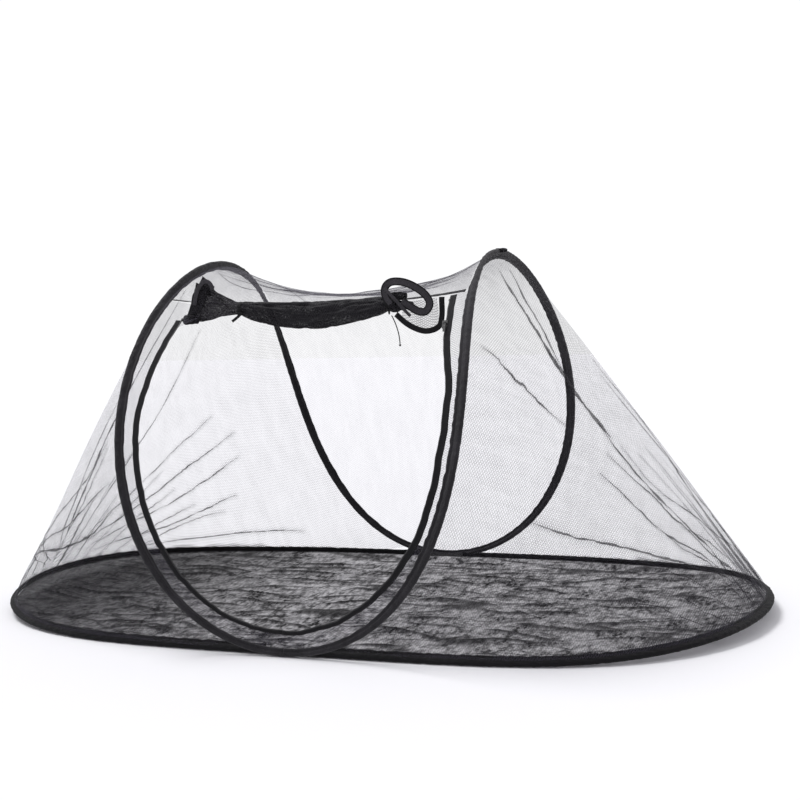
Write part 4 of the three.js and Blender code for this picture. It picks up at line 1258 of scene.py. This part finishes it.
def make_ties():
    at = {"left": ROLL_LEFT, "right": ROLL_RIGHT}
    for word, x in at.items():
        middle, _ = roll_middle(np.array([x - 0.001, x, x + 0.001]))
        turn = np.linspace(TIE_ENDS_GAP, 2 * math.pi - TIE_ENDS_GAP, 64)
        pinch = TIE_RADIUS * (1 + 0.04 * np.cos(3 * turn + x * 40))
        line = middle[1] + stack(0 * turn, -pinch * np.cos(turn), pinch * np.sin(turn))
        along = unit(middle[2] - middle[0])
        section = tape_section(WIDTHS["tie"])
        stand_in(swept_piece(f"tie_{word}.tape", line, along, section, TIE, "tie"))
    turn = np.linspace(0, 2 * math.pi, 49)
    x = 0.0035 * np.sin(turn) + 0.0022 * np.sin(2 * turn)
    z = 0.0035 * np.cos(turn) - 0.0022 * np.cos(2 * turn)
    for word, off in KNOT_OFF.items():
        line = roll_middle(np.array(at[word]))[0] + np.array(off) + stack(x, 0.0016 * np.sin(3 * turn), z)
        name = f"tie_{word}.knot"
        folded(swept_piece(name, line, FRONT, circle(TIE_KNOT_RADIUS, 8), TIE, "tie", capped=False))


def facing_front(line):
    """The direction across a tape that lies flat towards the door's front."""
    return np.cross(unit(np.gradient(line, axis=0)), FRONT)


def tape_along(name, route, width, material, slot, count=110):
    """A tape along a route beside the seam. The light loose tape has a dark rim on each edge."""
    line = seam_curve(route, count)
    across = facing_front(line)
    node = name.split(".")[0]
    tape = swept_piece(name, line, across, tape_section(width), material, slot)
    if material is LOOSE_TAPE:
        for side, word in ((-1, "inner"), (1, "outer")):
            edge = line + unit(across) * (side * 0.42 * width)
            rim = tape_section(WIDTHS["rim"], TAPE_THICKNESS + 0.0006)
            folded(swept_piece(f"{node}.{word}_edge", edge, across, rim, TAPE, slot))
    if slot == "zip_tape":
        folded(stitches(f"{node}.stitches", line, across, -0.32 * width, TAPE_THICKNESS / 2, slot))
    stand_in(tape)


ZIP_LOOP = [
    (0.169, -0.047, -0.008), (0.160, -0.051, 0.007), (0.160, -0.054, 0.026), (0.175, -0.056, 0.037),
    (0.203, -0.058, 0.034), (0.231, -0.058, 0.020), (0.252, -0.056, 0.001), (0.259, -0.054, -0.017),
    (0.249, -0.052, -0.031), (0.232, -0.051, -0.029), (0.213, -0.050, -0.017), (0.195, -0.048, -0.004),
]
LOOP_STRAND = [
    (0.162, -0.0605, 0.026), (0.180, -0.0625, 0.006), (0.199, -0.0625, -0.016), (0.217, -0.0600, -0.037),
]
DOOR_EDGE = [
    (0.175, -0.034, -0.030), (0.194, -0.034, -0.048), (0.214, -0.032, -0.062), (0.236, -0.030, -0.071),
    (0.255, -0.027, -0.071), (0.267, -0.023, -0.065), (0.271, -0.019, -0.054), (0.272, -0.015, -0.037),
    (0.271, -0.012, -0.013), (0.271, -0.010, -0.006),
]
TIE_STUB = [(-0.178, -0.044, -0.016), (-0.188, -0.045, -0.025), (-0.201, -0.046, -0.035)]
# Netting crumpled behind the loop: where, and how far it reaches each way.
CRUMPLES = {
    "door_roll.crumple": ((0.184, -0.040, 0.008), (0.020, 0.007, 0.009)),
    "door_roll.flare": ((0.190, -0.036, -0.012), (0.026, 0.008, 0.010)),
}


def make_loose_tapes():
    tape_along("door_zip_loop.tape", ZIP_LOOP, WIDTHS["loop"], LOOSE_TAPE, "zip_tape")
    tape_along("door_edge_tape.tape", DOOR_EDGE, WIDTHS["door_edge"], TAPE, "zip_tape")
    tape_along("tie_stub_left.tape", TIE_STUB, WIDTHS["stub"], TIE, "tie", 24)
    # A strand of the loop crosses it in front.
    line = seam_curve(LOOP_STRAND, 50)
    section = tape_section(WIDTHS["strand"])
    folded(swept_piece("door_zip_loop.strand", line, facing_front(line), section, LOOSE_TAPE, "zip_tape"))
    for name, (at, size) in CRUMPLES.items():
        folded(crumpled_ball(name, by_seam(*at), size, 180 + len(name)))


def make_door_corner():
    """The corner of the door that stays unrolled between the seam and its edge tape."""
    edge = seam_curve(DOOR_EDGE, 101)
    u = np.linspace(0, 1, 50)
    low = edge[np.round(10 + 57 * u).astype(int)] + stack(-0.002 * u, 0.001, 0.004)
    high = by_seam(0.186 + 0.074 * u, -0.024 + 0.014 * u, -0.006)
    v = np.linspace(0, 1, 24)[:, None]
    points = low[None] * (1 - v[..., None]) + high[None] * v[..., None]
    ripple = waves(u[None] * 0.08, v * 0.05, 160, 12, 0.012, 0.04) * 0.0016
    points[..., 1] += ripple * np.sin(math.pi * v)
    corner = cloth_piece("door_corner.netting", points, NETTING, "netting", None, 2.5)
    parts = stand_in(corner, ["middle"])


# ---- CAD nodes that keep their shape ----


def finish_cad_nodes():
    looks = {
        STEEL: ["base_wire_right", "base_wire_left"],
        CRIMP: ["base_ferrule"],
        ZIP_METAL: ["zip_slider", "zip_slider_staple", "zip_pull", "zip_stop_right", "zip_stop_left"],
        TIE: ["tie_knot"],
    }
    for material, names in looks.items():
        for name in names:
            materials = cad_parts[name].data.materials
            materials.clear()
            materials.append(material)


# ---- Stage ----

GROUND_HALF = 14
BACKDROP_PLACE = (0, 9, 6)
KEY_FROM = (-1.0, 0.35, 1.9)
KEY_ENERGY = 1.84
KEY_SPREAD = math.radians(24)
AMBIENT = 0.60
BACKDROP_GLOW = 1.045


def stage_plane(name, place, tilt, paint):
    bm = bmesh.new()
    bmesh.ops.create_grid(bm, x_segments=1, y_segments=1, size=GROUND_HALF)
    mesh = bpy.data.meshes.new(name)
    bm.to_mesh(mesh)
    bm.free()
    mesh.materials.append(paint.material)
    plane = add_object(name, mesh)
    plane.location = place
    plane.rotation_euler = (tilt, 0, 0)
    plane.visible_shadow = False
    plane.visible_diffuse = False


def make_stage():
    scene = bpy.context.scene
    scene.view_settings.view_transform = "Standard"
    paint = Nodes("ground_paint", 0.9)
    paint.look(Base_Color=(0.93, 0.93, 0.95, 1))
    stage_plane("ground", (0, 0, -0.0005), 0, paint)
    wall = Nodes("backdrop_paint", 0.9)
    wall.look(Base_Color=(0.0, 0.0, 0.0, 1), Specular_IOR_Level=0)
    wall.look(Emission_Color=(0.985, 0.985, 1, 1), Emission_Strength=BACKDROP_GLOW)
    stage_plane("backdrop", BACKDROP_PLACE, math.radians(90), wall)

    world = bpy.data.worlds.new("studio")
    world.use_nodes = True
    sky = world.node_tree.nodes["Background"].inputs
    sky["Color"].default_value = (0.97, 0.96, 1.0, 1)
    sky["Strength"].default_value = AMBIENT
    scene.world = world
    data = bpy.data.lights.new("key", "SUN")
    data.energy = KEY_ENERGY
    data.angle = KEY_SPREAD
    light = add_object("key", data)
    light.rotation_euler = Vector(KEY_FROM).to_track_quat("Z", "Y").to_euler()


for make in (
    make_camera, make_cord, make_bindings, make_hoop_ferrule, make_foot_joints, make_floors, make_end_panels,
    make_front_strips, make_back_panel, make_zips, make_seam_tape, make_roll, make_bunch, make_bunch_edge,
    make_ties, make_loose_tapes, make_door_corner, finish_cad_nodes, make_stage,
):
    make()
